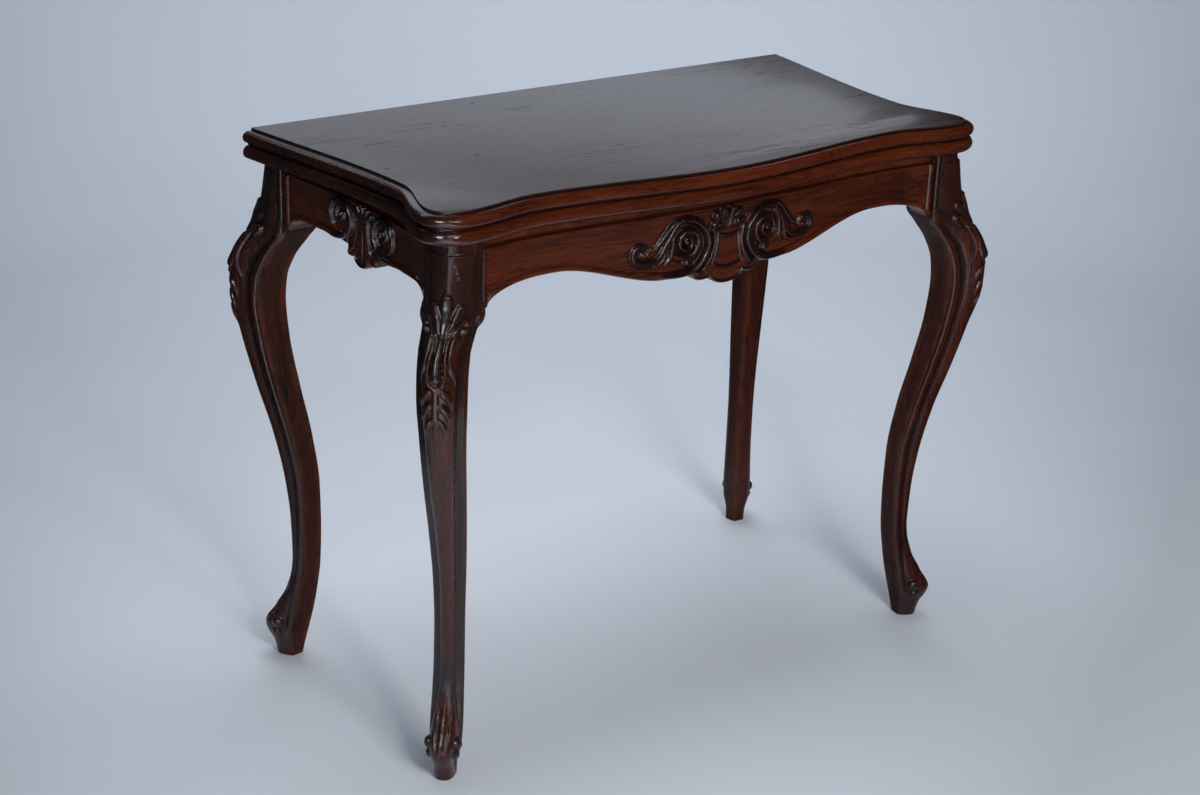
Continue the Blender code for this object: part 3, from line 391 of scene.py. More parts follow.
class Relief:
    """Carved height over a surface whose samples have an along and an up coordinate."""

    def __init__(self, along: Grid, up: Grid) -> None:
        """Starts from a plain surface."""
        self.along, self.up = np.broadcast_arrays(along, up)
        self.height = np.zeros(self.along.shape)

    def nearest(self, path: Grid, reach: float) -> tuple[Grid, Grid]:
        """Distance of each sample to a path, and the share of its length at the nearest place.

        Args:
            path: Points of the path.
            reach: Distance past which samples are left out.

        Returns:
            Distances, infinite out of reach, and shares from 0 to 1.
        """
        distance, share = np.full(self.along.shape, np.inf), np.zeros(self.along.shape)
        lengths = np.linalg.norm(np.diff(path, axis=0), axis=1)
        starts = np.concatenate(([0.0], np.cumsum(lengths)))
        low, high = path.min(axis=0) - reach, path.max(axis=0) + reach
        inside = (self.along > low[0]) & (self.along < high[0]) & (self.up > low[1]) & (self.up < high[1])
        u, v = self.along[inside], self.up[inside]
        best, place = np.full(u.shape, np.inf), np.zeros(u.shape)
        for a, b, length, start in zip(path, path[1:], lengths, starts):
            step = (b - a) / max(length, TINY * MM)
            t = np.clip((u - a[0]) * step[0] + (v - a[1]) * step[1], 0.0, length)
            far = np.hypot(u - a[0] - t * step[0], v - a[1] - t * step[1])
            closer = far < best
            best, place = np.where(closer, far, best), np.where(closer, start + t, place)
        distance[inside], share[inside] = best, place / starts[-1]
        return distance, share

    def carve(self, forms: Iterable["Form"]) -> None:
        """Cuts forms one after the other."""
        for form in forms:
            form.cut(self)

    def soften(self, rounds: int) -> None:
        """Takes the saw marks off the carving by averaging neighbours.

        Args:
            rounds: How many times.
        """
        for _ in range(rounds):
            padded = np.pad(self.height, 1, mode="edge")
            along = (padded[:-2, 1:-1] + padded[2:, 1:-1]) / 2
            across = (padded[1:-1, :-2] + padded[1:-1, 2:]) / 2
            self.height = (2 * self.height + along + across) / 4


class Form:
    """One cut of the carver. Every form's lengths are in millimetres."""

    def cut(self, relief: Relief) -> None:
        """Changes the height of a relief."""
        raise NotImplementedError


@dataclass(frozen=True)
class Strand(Form):
    """Rounded band along a path, with its widths and rises spaced evenly along it."""

    path: Knots | Grid
    widths: tuple[float, ...]
    rises: tuple[float, ...]
    flute: float = 0.0
    sunk: float = 0.0
    steps: int = 8
    roundness: float = 0.62
    flute_share: float = 0.34
    line_place: float = 1.2
    line_share: float = 0.28
    line_reach: float = 2.0

    def cut(self, relief: Relief) -> None:
        """Raises the band, grooved by its flute, after sinking a shade line along both its sides.

        Args:
            relief: Carved surface, changed in place.
        """
        distance, share = relief.nearest(flowing(self.path, self.steps) * MM, max(self.widths) * MM)
        width, rise = (np.interp(share, np.linspace(0, 1, len(v)), v) * MM for v in (self.widths, self.rises))
        away = distance / (width / 2)
        x = np.clip(away, 0.0, 1.0)
        crown = (1 - x * x) ** self.roundness - self.flute * np.exp(-((x / self.flute_share) ** 2))
        line = np.exp(-(((away - self.line_place) / self.line_share) ** 2)) * (away < self.line_reach)
        height = relief.height - self.sunk * MM * line
        relief.height = np.where(away < 1, np.maximum(height, rise * crown), height)


@dataclass(frozen=True)
class Spot(Form):
    """Oval place on the surface."""

    centre: Pair
    radii: Pair
    depth: float

    def inside(self, relief: Relief) -> Grid:
        """1 in the middle and 0 from the border on.

        Args:
            relief: Carved surface.

        Returns:
            One value for each point of the relief.
        """
        (u, v), (wide, tall) = self.centre, self.radii
        away = ((relief.along - u * MM) / (wide * MM)) ** 2 + ((relief.up - v * MM) / (tall * MM)) ** 2
        return np.maximum(1 - away, 0.0)


class Button(Spot):
    """Half-round button."""

    def cut(self, relief: Relief) -> None:
        """Keeps the higher of the surface and the button.

        Args:
            relief: Carved surface, changed in place.
        """
        inside = self.inside(relief)
        button = np.maximum(relief.height, self.depth * MM * np.sqrt(inside))
        relief.height = np.where(inside > 0, button, relief.height)


class Scoop(Spot):
    """Shallow scoop."""

    softness = 1.5

    def cut(self, relief: Relief) -> None:
        """Takes the scoop out of the surface."""
        relief.height = relief.height - self.depth * MM * self.inside(relief) ** self.softness


@dataclass(frozen=True)
class Groove(Form):
    """Round-bottomed cut along a path, fading at both ends."""

    path: Knots
    width: float
    depth: float
    end_slope: float = 8.0

    def cut(self, relief: Relief) -> None:
        """Takes the groove out of the surface.

        Args:
            relief: Carved surface, changed in place.
        """
        distance, share = relief.nearest(flowing(self.path, 1) * MM, self.width * MM)
        x = np.clip(2 * distance / (self.width * MM), 0.0, 1.0)
        ends = np.clip(np.minimum(share, 1 - share) * self.end_slope, 0.0, 1.0)
        relief.height = relief.height - self.depth * MM * (1 - x * x) * ends


@dataclass(frozen=True)
class Plate(Form):
    """Raised flat, given by (height, half width) knots, that fades out between two heights."""

    outline: Knots
    top: Pair
    rise: float
    border: float = 1.2

    def cut(self, relief: Relief) -> None:
        """Keeps the higher of the surface and the plate.

        Args:
            relief: Carved surface, changed in place.
        """
        half = eased(np.array(self.outline) * MM, relief.up)
        below = 1 - ramp(relief.up, *scaled(MM, *self.top))
        inside = ramp(half - relief.along, 0.0, self.border * MM) * below
        relief.height = np.maximum(relief.height, inside * self.rise * MM)


# Finishes


class Grain(Enum):
    """Direction of a piece's grain, with the turn that brings it onto X."""

    LENGTH = (0.0, 0.0, 0.0)
    DEPTH = (0.0, 0.0, -QUARTER)
    HEIGHT = (0.0, QUARTER, 0.0)


class Nodes:
    """Adds nodes to one shader or geometry tree and links them."""

    def __init__(self, tree: Tree) -> None:
        """Works on the given tree."""
        self.tree = tree

    def feed(self, node: bpy.types.Node, inputs: dict) -> None:
        """Gives a node's sockets, by name or index, a value or the socket that feeds each.

        Args:
            node: Node to feed.
            inputs: Values or sockets by name or index.
        """
        for label, value in inputs.items():
            if isinstance(value, Socket):
                self.tree.links.new(value, node.inputs[label])
            else:
                node.inputs[label].default_value = value

    def put(self, kind: str, inputs: dict | None = None, **settings: object) -> bpy.types.Node:
        """Adds a node.

        Args:
            kind: Class name of the node.
            inputs: Sockets by name or index, with a value or the socket that feeds each.
            **settings: Properties of the node.

        Returns:
            The node.
        """
        node = self.tree.nodes.new(kind)
        for label, value in settings.items():
            setattr(node, label, value)
        self.feed(node, inputs or {})
        return node

    def math(self, operation: str, a: object, b: object = 0.0) -> Socket:
        """Result of a calculation with two values."""
        return self.put("ShaderNodeMath", {0: a, 1: b}, operation=operation).outputs[0]

    def times(self, a: object, b: object) -> Socket:
        """Product of two values."""
        return self.math("MULTIPLY", a, b)

    def mix(self, share: object, a: object, b: object) -> Socket:
        """Mixture of two colours, each a socket or three parts."""
        first, second = (v if isinstance(v, Socket) else (*v, 1.0) for v in (a, b))
        return self.put("ShaderNodeMix", {0: share, 6: first, 7: second}, data_type="RGBA").outputs[2]

    def span(self, value: object, low: float, high: float, first: object = 0.0, last: object = 1.0) -> Socket:
        """Value eased from one range to another."""
        ends = {"Value": value, "From Min": low, "From Max": high, "To Min": first, "To Max": last}
        return self.put("ShaderNodeMapRange", ends, interpolation_type="SMOOTHSTEP").outputs["Result"]

    def fade(self, value: object, low: float, high: float) -> Socket:
        """1 below a range and 0 above it."""
        return self.span(value, low, high, 1.0, 0.0)

    def noise(self, vector: Socket, scale: object, detail: float = 3.0, distortion: float = 0.0) -> Socket:
        """Cloudy value over a vector, scaled by one number or by three.

        Args:
            vector: Place to read.
            scale: One number, or one for each axis.
            detail: Octaves.
            distortion: How far the cloud is bent.

        Returns:
            Value from 0 to 1.
        """
        if isinstance(scale, tuple):
            vector, scale = self.stretched(vector, scale), 1.0
        wanted = {"Vector": vector, "Scale": scale, "Detail": detail, "Distortion": distortion}
        return self.put("ShaderNodeTexNoise", wanted).outputs["Fac"]

    def stretched(self, vector: Socket, scale: Triple) -> Socket:
        """Vector scaled differently along each axis."""
        return self.put("ShaderNodeMapping", {"Vector": vector, "Scale": scale}).outputs["Vector"]

    def vector_math(self, operation: str, inputs: dict, output: str = "Value") -> Socket:
        """Result of a calculation with vectors."""
        return self.put("ShaderNodeVectorMath", inputs, operation=operation).outputs[output]

    def attribute(self, name: str) -> Socket:
        """Value that the mesh's points carry."""
        return self.put("ShaderNodeAttribute", attribute_name=name).outputs["Fac"]

    def coords(self) -> Socket:
        """Object coordinates."""
        return self.put("ShaderNodeTexCoord").outputs["Object"]

    def group(self, tree: Tree, inputs: dict) -> bpy.types.NodeOutputs:
        """Outputs of a shared effect."""
        return self.put("ShaderNodeGroup", inputs, node_tree=tree).outputs

    def bump(self, height: Socket, distance: float, strength: float = 1.0) -> Socket:
        """Normal of a bumpy surface."""
        wanted = {"Strength": strength, "Distance": distance, "Height": height}
        return self.put("ShaderNodeBump", wanted).outputs["Normal"]

    def lifted(self, geometry: Socket, height: object) -> Socket:
        """Geometry moved up.

        Args:
            geometry: What is moved.
            height: How far.

        Returns:
            The moved geometry.
        """
        lift = self.put("ShaderNodeCombineXYZ", {2: height}).outputs[0]
        moved = self.put("GeometryNodeTransform", {"Geometry": geometry, "Translation": lift})
        return moved.outputs["Geometry"]


def shader_group(name: str, inputs: tuple, outputs: tuple) -> tuple[Nodes, bpy.types.NodeOutputs]:
    """Empty shader group, whose sockets are values except one called Vector.

    Args:
        name: Name of the group.
        inputs: Names of its inputs.
        outputs: Names of its outputs.

    Returns:
        The group's node helper and the sockets of its inputs.
    """
    tree = bpy.data.node_groups.new(name, "ShaderNodeTree")
    for side, labels in (("INPUT", inputs), ("OUTPUT", outputs)):
        for label in labels:
            kind = "NodeSocketVector" if label == "Vector" else "NodeSocketFloat"
            tree.interface.new_socket(name=label, in_out=side, socket_type=kind)
    nodes = Nodes(tree)
    return nodes, nodes.put("NodeGroupInput").outputs


class Effects:
    """Shader effects that several finishes share, each built once."""

    band_scale, band_range = (2.2, 16.0, 16.0), (0.30, 0.72)
    streak_scale, streak_range = (9.0, 330.0, 330.0), (0.34, 0.68)
    pore_scale, pore_range, pore_depth = (85.0, 1500.0, 1500.0), (0.60, 0.72), 0.8
    patch_scale, loose_dirt, rub_patches = 42.0, (0.55, 0.80, 0.0, 0.22), (0.34, 0.66, 0.25, 1.0)
    dirt_range, rub_range = (0.03, 0.55), (0.12, 0.80)
    smear_scale, scuff_scale, scuff_share, smear_range = 14.0, 160.0, 0.35, (0.45, 0.95)

    def __init__(self) -> None:
        """Builds the groups."""
        self.grain, self.wear, self.smear = self.build_grain(), self.build_wear(), self.build_smear()

    def build_grain(self) -> Tree:
        """Wood figure along X: broad bands, fine streaks and open pores.

        Returns:
            The group.
        """
        nodes, given = shader_group("wood_grain", ("Vector",), ("Figure", "Streaks", "Pores", "Height"))
        bands = nodes.noise(given["Vector"], self.band_scale, detail=3.0, distortion=1.3)
        streaks = nodes.noise(given["Vector"], self.streak_scale, detail=4.0, distortion=0.25)
        streaks = nodes.span(streaks, *self.streak_range)
        pores = nodes.span(nodes.noise(given["Vector"], self.pore_scale, detail=1.0), *self.pore_range)
        height = nodes.math("SUBTRACT", streaks, nodes.times(pores, self.pore_depth))
        results = {"Figure": nodes.span(bands, *self.band_range), "Streaks": streaks, "Pores": pores}
        nodes.put("NodeGroupOutput", {**results, "Height": height})
        return nodes.tree

    def build_wear(self) -> Tree:
        """Darkening in hollows, from dirt and from painted shade, and polish rubbed off the crests.

        Returns:
            The group.
        """
        nodes, given = shader_group("dirt_shade_and_rubbing", ("Vector", "Hollow", "Crest"), ("Dirt", "Rub"))
        patches = nodes.noise(given["Vector"], self.patch_scale, detail=4.0)
        loose = nodes.math("ADD", given["Hollow"], nodes.span(patches, *self.loose_dirt))
        rubbed = nodes.times(given["Crest"], nodes.span(patches, *self.rub_patches))
        results = {"Dirt": nodes.span(loose, *self.dirt_range), "Rub": nodes.span(rubbed, *self.rub_range)}
        nodes.put("NodeGroupOutput", results)
        return nodes.tree

    def build_smear(self) -> Tree:
        """Uneven polish: hand smears and fine scuffs.

        Returns:
            The group.
        """
        nodes, given = shader_group("uneven_polish", ("Vector",), ("Smear",))
        broad = nodes.noise(given["Vector"], self.smear_scale, detail=4.0, distortion=0.6)
        fine = nodes.noise(given["Vector"], self.scuff_scale, detail=2.0)
        both = nodes.math("ADD", broad, nodes.times(fine, self.scuff_share))
        nodes.put("NodeGroupOutput", {"Smear": nodes.span(both, *self.smear_range)})
        return nodes.tree


def blank_material(name: str) -> tuple[Material, Nodes, bpy.types.Node]:
    """New material with a Principled shader.

    Args:
        name: Name of the material.

    Returns:
        The material, its node helper and its Principled node.
    """
    material = bpy.data.materials.new(name)
    material.use_nodes = True
    return material, Nodes(material.node_tree), material.node_tree.nodes["Principled BSDF"]


@dataclass(frozen=True)
class WoodFinish:
    """Polished wood with grain, dirt in its hollows, painted shade where a piece's hollow mask carries it,
    and rubbed crests.
    """

    name: str
    grain: Grain
    dark: Colour = (0.024, 0.0044, 0.0016)
    light: Colour = (0.105, 0.0190, 0.0048)
    # Colour of pores and dirt, and also of the painted shade that some pieces put into their hollow mask
    dirt: Colour = (0.0050, 0.0034, 0.0031)
    rubbed: Colour = (0.140, 0.031, 0.009)
    dirt_strength: float = 0.90
    dirt_dulling: float = 0.25
    rub_strength: float = 0.40
    pore_strength: float = 0.22
    gloss: Pair = (0.13, 0.28)
    coat: float = 0.30
    coat_rough: float = 0.11
    grain_depth: float = 0.00012
    figure_share: float = 0.55
    dull_rough: float = 0.35
    dull_shine: Pair = (0.5, 0.22)

    def colours(self, nodes: Nodes, effects: Effects, coords: Socket) -> tuple[Socket, Socket, Socket]:
        """Colour, polish and height of the surface.

        Args:
            nodes: Helper of the material's tree.
            effects: Shared shader groups.
            coords: Object coordinates.

        Returns:
            Sockets of the colour, the roughness and the bump height.
        """
        turned = nodes.put("ShaderNodeMapping", {"Vector": coords, "Rotation": self.grain.value})
        figure = nodes.group(effects.grain, {"Vector": turned.outputs["Vector"]})
        masks = {"Hollow": nodes.attribute("hollow"), "Crest": nodes.attribute("crest")}
        wear = nodes.group(effects.wear, {"Vector": coords, **masks})
        smear = nodes.group(effects.smear, {"Vector": coords})["Smear"]
        broad = nodes.times(figure["Figure"], self.figure_share)
        fine = nodes.times(figure["Streaks"], 1 - self.figure_share)
        colour = nodes.mix(nodes.math("ADD", broad, fine), self.dark, self.light)
        # The last mix paints dirt and painted shade in the dirt colour
        for mask, strength, over in ((figure["Pores"], self.pore_strength, self.dirt),
                                     (wear["Rub"], self.rub_strength, self.rubbed),
                                     (wear["Dirt"], self.dirt_strength, self.dirt)):
            colour = nodes.mix(nodes.times(mask, strength), colour, over)
        dull = nodes.math("MAXIMUM", smear, nodes.times(wear["Dirt"], self.dirt_dulling))
        return colour, nodes.span(dull, 0.0, 1.0, *self.gloss), figure["Height"]

    def material(self, effects: Effects) -> Material:
        """The finish as a material; points with a dull attribute are unpolished.

        Args:
            effects: Shared shader groups.

        Returns:
            The material.
        """
        material, nodes, shader = blank_material(self.name)
        colour, rough, height = self.colours(nodes, effects, nodes.coords())
        dull = nodes.attribute("dull")
        nodes.feed(shader, {
            "Base Color": colour,
            "Roughness": nodes.math("ADD", rough, nodes.times(dull, self.dull_rough)),
            "Normal": nodes.bump(height, self.grain_depth),
            "Coat Weight": nodes.span(dull, 0.0, 1.0, self.coat, 0.0),
            "Coat Roughness": self.coat_rough,
            "Specular IOR Level": nodes.span(dull, 0.0, 1.0, *self.dull_shine),
        })
        return material


@dataclass(frozen=True)
class TopFinish(WoodFinish):
    """Polished wood of a table top, with drying cracks, knocks and scratches along the grain."""

    field: Colour = (0.0135, 0.0085, 0.0072)
    field_share: float = 0.85
    field_level: float = 0.7494
    field_gloss: Pair = (0.250, 0.275)
    wiped_scale: Triple = (5.0, 210.0, 210.0)
    wiped_range: Pair = (0.30, 0.70)
    crack_colour: Colour = (0.0035, 0.0025, 0.0022)
    crack_share: float = 0.85
    crack_scale: Triple = (3.4, 95.0, 95.0)
    crack_half: float = 0.016
    crack_patches: Triple = (4.5, 9.0, 9.0)
    crack_range: Pair = (0.54, 0.66)
    knock_share: float = 0.70
    knock_scale: float = 24.0
    knock_range: Pair = (0.06, 0.13)
    knock_patches: float = 11.0
    patch_range: Pair = (0.58, 0.66)
    mark_rough: float = 0.35
    mark_depth: float = 4.0

    def colours(self, nodes: Nodes, effects: Effects, coords: Socket) -> tuple[Socket, Socket, Socket]:
        """Colour, polish and height with the cracks and knocks added.

        Args:
            nodes: Helper of the material's tree.
            effects: Shared shader groups.
            coords: Object coordinates.

        Returns:
            Sockets of the colour, the roughness and the bump height.
        """
        colour, rough, height = super().colours(nodes, effects, coords)
        up = nodes.put("ShaderNodeSeparateXYZ", {"Vector": coords}).outputs["Z"]
        on_field = nodes.math("GREATER_THAN", up, self.field_level)
        colour = nodes.mix(nodes.times(on_field, self.field_share), colour, self.field)
        even = nodes.span(nodes.noise(coords, self.wiped_scale), *self.wiped_range, *self.field_gloss)
        rough = nodes.put("ShaderNodeMix", {0: on_field, 2: rough, 3: even}).outputs[0]
        lines = nodes.noise(coords, self.crack_scale, detail=2.0, distortion=0.5)
        thin = nodes.math("ABSOLUTE", nodes.math("SUBTRACT", lines, 0.5))
        where = nodes.span(nodes.noise(coords, self.crack_patches, detail=2.0), *self.crack_range)
        cracks = nodes.times(nodes.fade(thin, 0.0, self.crack_half), where)
        spots = nodes.put("ShaderNodeTexVoronoi", {"Vector": coords, "Scale": self.knock_scale})
        rare = nodes.span(nodes.noise(coords, self.knock_patches, detail=1.0), *self.patch_range)
        knocks = nodes.times(nodes.fade(spots.outputs["Distance"], *self.knock_range), rare)
        cracks, knocks = nodes.times(cracks, self.crack_share), nodes.times(knocks, self.knock_share)
        marks = nodes.math("MAXIMUM", cracks, knocks)
        colour = nodes.mix(marks, colour, self.crack_colour)
        rough = nodes.math("ADD", rough, nodes.times(marks, self.mark_rough))
        return colour, rough, nodes.math("SUBTRACT", height, nodes.times(marks, self.mark_depth))


@dataclass(frozen=True)
class MetalFinish:
    """Aged metal with tarnish."""

    name: str
    bright: Colour
    tarnish: Colour
    gloss: Pair
    tarnish_scale: Triple = (4.0, 4.0, 4.0)
    scuff_scale: float = 900.0
    scuff_depth: float = 0.00005
    scuff_strength: float = 0.6

    def material(self, effects: Effects) -> Material:
        """The finish as a material.

        Args:
            effects: Shared shader groups.

        Returns:
            The material.
        """
        material, nodes, shader = blank_material(self.name)
        coords = nodes.coords()
        share = nodes.group(effects.smear, {"Vector": nodes.stretched(coords, self.tarnish_scale)})["Smear"]
        scuffs = nodes.noise(coords, self.scuff_scale, detail=2.0)
        nodes.feed(shader, {
            "Base Color": nodes.mix(share, self.bright, self.tarnish),
            "Roughness": nodes.span(share, 0.0, 1.0, *self.gloss),
            "Normal": nodes.bump(scuffs, self.scuff_depth, self.scuff_strength),
            "Metallic": 1.0,
        })
        return material


@dataclass(frozen=True)
class BaizeFinish:
    """Napped wool cloth, faded and rubbed."""

    name: str = "green_baize"
    deep: Colour = (0.016, 0.075, 0.042)
    faded: Colour = (0.050, 0.150, 0.085)
    nap_scale: float = 1400.0
    nap_depth: float = 0.0004
    nap_share: float = 0.6
    smear_share: float = 0.4
    rough: float = 0.95
    sheen: float = 0.18
    sheen_rough: float = 0.5

    def material(self, effects: Effects) -> Material:
        """The finish as a material.

        Args:
            effects: Shared shader groups.

        Returns:
            The material.
        """
        material, nodes, shader = blank_material(self.name)
        coords = nodes.coords()
        nap = nodes.noise(coords, self.nap_scale)
        smear = nodes.group(effects.smear, {"Vector": coords})["Smear"]
        fade = nodes.math("ADD", nodes.times(nap, self.nap_share), nodes.times(smear, self.smear_share))
        nodes.feed(shader, {
            "Base Color": nodes.mix(fade, self.deep, self.faded),
            "Normal": nodes.bump(nap, self.nap_depth),
            "Roughness": self.rough,
            "Sheen Weight": self.sheen,
            "Sheen Roughness": self.sheen_rough,
        })
        return material


# Cabriole legs


@dataclass
class CabrioleLeg:
    """A carved leg on the table's diagonal, seen as rings of outward and sideways offsets."""

    foot_x: float = 0.400
    foot_y: float = 0.194
    frame_top: float = 0.7081
    neck_base: float = 0.6956
    neck_depth: float = 0.0065
    neck_side: float = 0.6
    neck_steps: Knots = ((0.55, 0.0007), (0.9, 0.0020), (1.0, 0.0036))
    end_drop: float = 0.085
    post_side: float = 0.049
    post_set: Pair = (0.035, 0.028)
    post_front: float = 0.0225
    post_swell: Knots = ((0.085, 1.65), (0.051, 1.25))
    section_power: Pair = (2.6, 1.5)
    rib_width: float = 0.0062
    rib_most: float = 0.40
    rib_space: float = 1.30
    rib_depth: float = 0.0026
    rib_round: float = 0.9
    plug_height: float = 0.022
    plug_draw: float = 0.30
    ear_drop: float = 0.0900
    ear_rise: float = 0.0042
    ear_radii: Triple = (0.011, 0.011, 0.020)
    ear_softness: float = 1.5
    ear_column: int = 3
    button_row: int = 2
    button_side: float = 0.88
    button_rise: float = 0.85
    shoulder_share: float = 0.20
    shoulder_rows: Knots = ((0.120, 0.52), (0.280, 0.53), (0.400, 0.62), (0.560, 0.71))
    shoulder_fade: Pair = (0.060, 0.120)
    shoulder_least: float = 0.06
    reed_half: float = 0.0021
    reed_rise: float = 0.0013
    reed_line: float = 0.0011
    line_half: float = 0.0010
    reed_start: Pair = (0.085, 0.125)
    reed_end: Pair = (0.600, 0.624)
    cove_depth: float = 0.0017
    cove_steps: int = 10
    front_fade: Pair = (0.7, 1.0)
    old_polish: float = 0.40
    softening: int = 2
    # Grime darkening the upper leg, and painted shade along the cove beside the rib
    grime_and_shade: float = 0.29
    grime_rise: Pair = (0.555, 0.635)
    cove_shade: float = 0.45
    front_steps: int = 108
    rib_steps: int = 10
    back_steps: int = 8
    smooth_angle: float = 75.0

    # First height and step of each stretch of rings
    ring_zones: Knots = ((0.0, 0.0012), (0.112, 0.0045), (0.440, 0.0011))
    # Share of the foot's front, rise above its widest row, and radius
    foot_buttons: tuple = ((0.40, 0.0081, 0.0084), (0.46, -0.0065, 0.0068))
    # Rows of height, back, front and half width
    foot_rows: tuple = (
        (0.000, -0.0190, 0.0190, 0.0137), (0.018, -0.0195, 0.0235, 0.0150), (0.044, -0.0250, 0.0350, 0.0205),
        (0.070, -0.0310, 0.0190, 0.0212), (0.100, -0.0365, 0.0040, 0.0205), (0.150, -0.0425, -0.0040, 0.0197),
        (0.205, -0.0440, -0.0025, 0.0195), (0.260, -0.0430, 0.0035, 0.0207), (0.330, -0.0340, 0.0180, 0.0235),
        (0.400, -0.0190, 0.0390, 0.0263),
    )
    # Rows of drop below the frame's top, back, front and half width
    knee_rows: tuple = (
        (0.238, -0.0062, 0.0575, 0.0285), (0.188, -0.0025, 0.0675, 0.0305), (0.158, -0.0050, 0.0678, 0.0308),
        (0.128, -0.0160, 0.0598, 0.0310), (0.103, -0.0330, 0.0465, 0.0325),
    )
    # Paths and widths of the leaf tufts
    tufts: tuple = (
        (((3, 549), (13, 541), (20, 531), (21, 521)), 10.0),
        (((2, 533), (10, 524), (15.5, 514), (16, 503)), 8.5),
        (((1, 515), (7, 506), (10.5, 497), (10.5, 486)), 7.0),
    )
    # Lean, length, width and rise of the shell's petals
    petals: tuple = ((60.0, 21.0, 11.5, 4.8), (31.0, 34.0, 13.5, 5.8), (0.0, 41.0, 14.0, 6.2))
    petal_foot: float = 605.0
    # Centre, radius and depth of the post's pearls and knocks
    pearls: tuple = ((14, 671, 2.4, 1.0), (11.5, 678, 2.2, 1.0), (9, 684.5, 2.0, 1.0))
    knocks: tuple = ((1, 689, 5.5, 0.9), (7, 681, 5.0, 0.8), (2, 673, 6.0, 1.0), (16, 684, 5.0, 0.7),
                     (3, 658, 5.5, 0.9), (12, 652, 5.0, 0.7))

    def forms(self) -> Iterator[Form]:
        """Drop in a raised rim, scrolls, leaf tufts, shell, worn post, and the leaf tongue of the foot."""
        rim = ((12, 620), (8.4, 606), (7.8, 590), (9.4, 572), (9.6, 562), (6.6, 554), (0, 550.5))
        yield Strand(rim, (4.4, 4.2, 4.8), (4.0, 4.0, 4.6), sunk=1.0)
        yield Strand(((0, 610), (0, 594), (0, 576), (0, 563)), (5.6, 8.5, 11.5, 15.2), (4.5, 6.0, 7.2, 8.4))
        scroll = ((27.5, 608), (29.5, 615), (24, 620), (17.5, 616), (14, 604), (13.6, 588), (17, 572),
                  (29, 553))
        yield Strand(scroll, (5.8, 7.0, 6.2, 4.0), (5.8, 5.6, 4.6, 1.8), flute=0.20, sunk=1.2)
        yield Button((26.5, 610.5), (4.4, 4.4), 6.4)
        for path, width in self.tufts:
            widths = (*scaled(width, 0.6, 1.0, 0.8), 1.6)
            yield Strand(path, widths, (3.0, 4.0, 3.6, 0.8), flute=0.22, sunk=1.2)
        stem = ((0, 549), (0, 520), (0, 490), (0, 452))
        yield Strand(stem, (8.5, 8.0, 6.0, 1.5), (3.6, 3.4, 2.4, 0.2), sunk=0.9)
        for angle, length, width, rise in self.petals:
            path = petal(self.petal_foot, angle, length, 0.0, (0.1, 0.4, 0.7, 1.0))
            widths, rises = scaled(width, 0.35, 0.65, 0.9, 1.0), scaled(rise, 0.75, 0.9, 1.0, 0.7)
            yield Strand(path, widths, rises, flute=0.20, sunk=1.8)
        for kind, spots in ((Button, self.pearls), (Scoop, self.knocks)):
            for along, up, radius, depth in spots:
                yield kind((along, up), (radius, radius), depth)
        tongue = ((0, 118), (0, 96), (0, 70), (0, 46), (0, 34))
        yield Strand(tongue, (1.8, 6.0, 8.5, 7.0, 2.0), (0.3, 2.0, 3.0, 2.2, 0.2))
        vein = ((9, 100), (8.5, 80), (9.5, 62), (7, 48))
        yield Strand(vein, (2.0, 3.6, 4.0, 2.0), (0.4, 1.4, 1.8, 0.6), sunk=0.5)

    def rows(self) -> list[tuple[float, float, float, float]]:
        """Rows from the floor to the neck under the leaf.

        Returns:
            The rows, in order of height.
        """
        back, half = -sum(self.post_set) / DIAGONAL, self.post_side / DIAGONAL
        rows = [*self.foot_rows, *((self.frame_top - drop, *rest) for drop, *rest in self.knee_rows)]
        for drop, swell in self.post_swell:
            rows.append((self.frame_top - drop, back, self.post_front * swell, half))
        return rows + [(self.neck_base, back, self.post_front, half)]

    def heights(self) -> Grid:
        """Heights of the rings: close together on the foot and the knee.

        Returns:
            Growing heights.
        """
        stops = [start for start, _ in self.ring_zones[1:]] + [self.neck_base]
        zones = [np.arange(start, stop, step) for (start, step), stop in zip(self.ring_zones, stops)]
        return np.concatenate([*zones, [self.neck_base]])

    def sections(self, heights: Grid) -> tuple[Grid, Grid]:
        """Rings of the plain leg.

        Args:
            heights: Height of each ring.

        Returns:
            Points as (out, across, up), and the signed distance of each from the front line.
        """
        rows = self.rows()
        back, front, half = (eased(tuple((r[0], r[k]) for r in rows), heights)[:, None] for k in (1, 2, 3))
        knee_drop = self.knee_rows[-2][0]
        post = np.clip((heights - self.frame_top + knee_drop) / (knee_drop - self.end_drop), 0, 1)[:, None]
        plug = np.clip(1 - heights / self.plug_height, 0, 1)[:, None]
        low, high = self.section_power
        power = 2 / (low + (high - low) * post)
        ridge = back + half
        rib = np.minimum(self.rib_width, self.rib_most * (front - ridge)) * (1 - plug)
        groove = self.rib_depth * (1 - plug)
        inner = np.linspace(0, 1, self.back_steps, endpoint=False)[None]
        start_back = back + plug * self.plug_draw * half
        bead = np.linspace(-1, 1, self.rib_steps)[None]
        start, width = ridge + self.rib_space * rib, half - groove
        low, high = self.shoulder_fade
        keep = np.clip((heights - low) / (high - low), 0, 1)[:, None] * (1 - post * post)
        keep = np.maximum(keep, self.shoulder_least)
        shoulder = start + keep * self.shoulder_share * (front - start)
        narrow = width * (1 - keep * (1 - eased(self.shoulder_rows, heights)[:, None]))
        cove = np.linspace(0, 1, self.cove_steps, endpoint=False)[None]
        outs = (start_back + (ridge - start_back) * inner, ridge + rib * (bead + 1) / 2,
                start + (shoulder - start) * cove)
        rib_side = half - groove * self.rib_round * (1 - dome(bead))
        sides = (half * inner, rib_side, width + (narrow - width) * cove)
        turn = np.linspace(0, math.pi, self.front_steps + 1)[None]
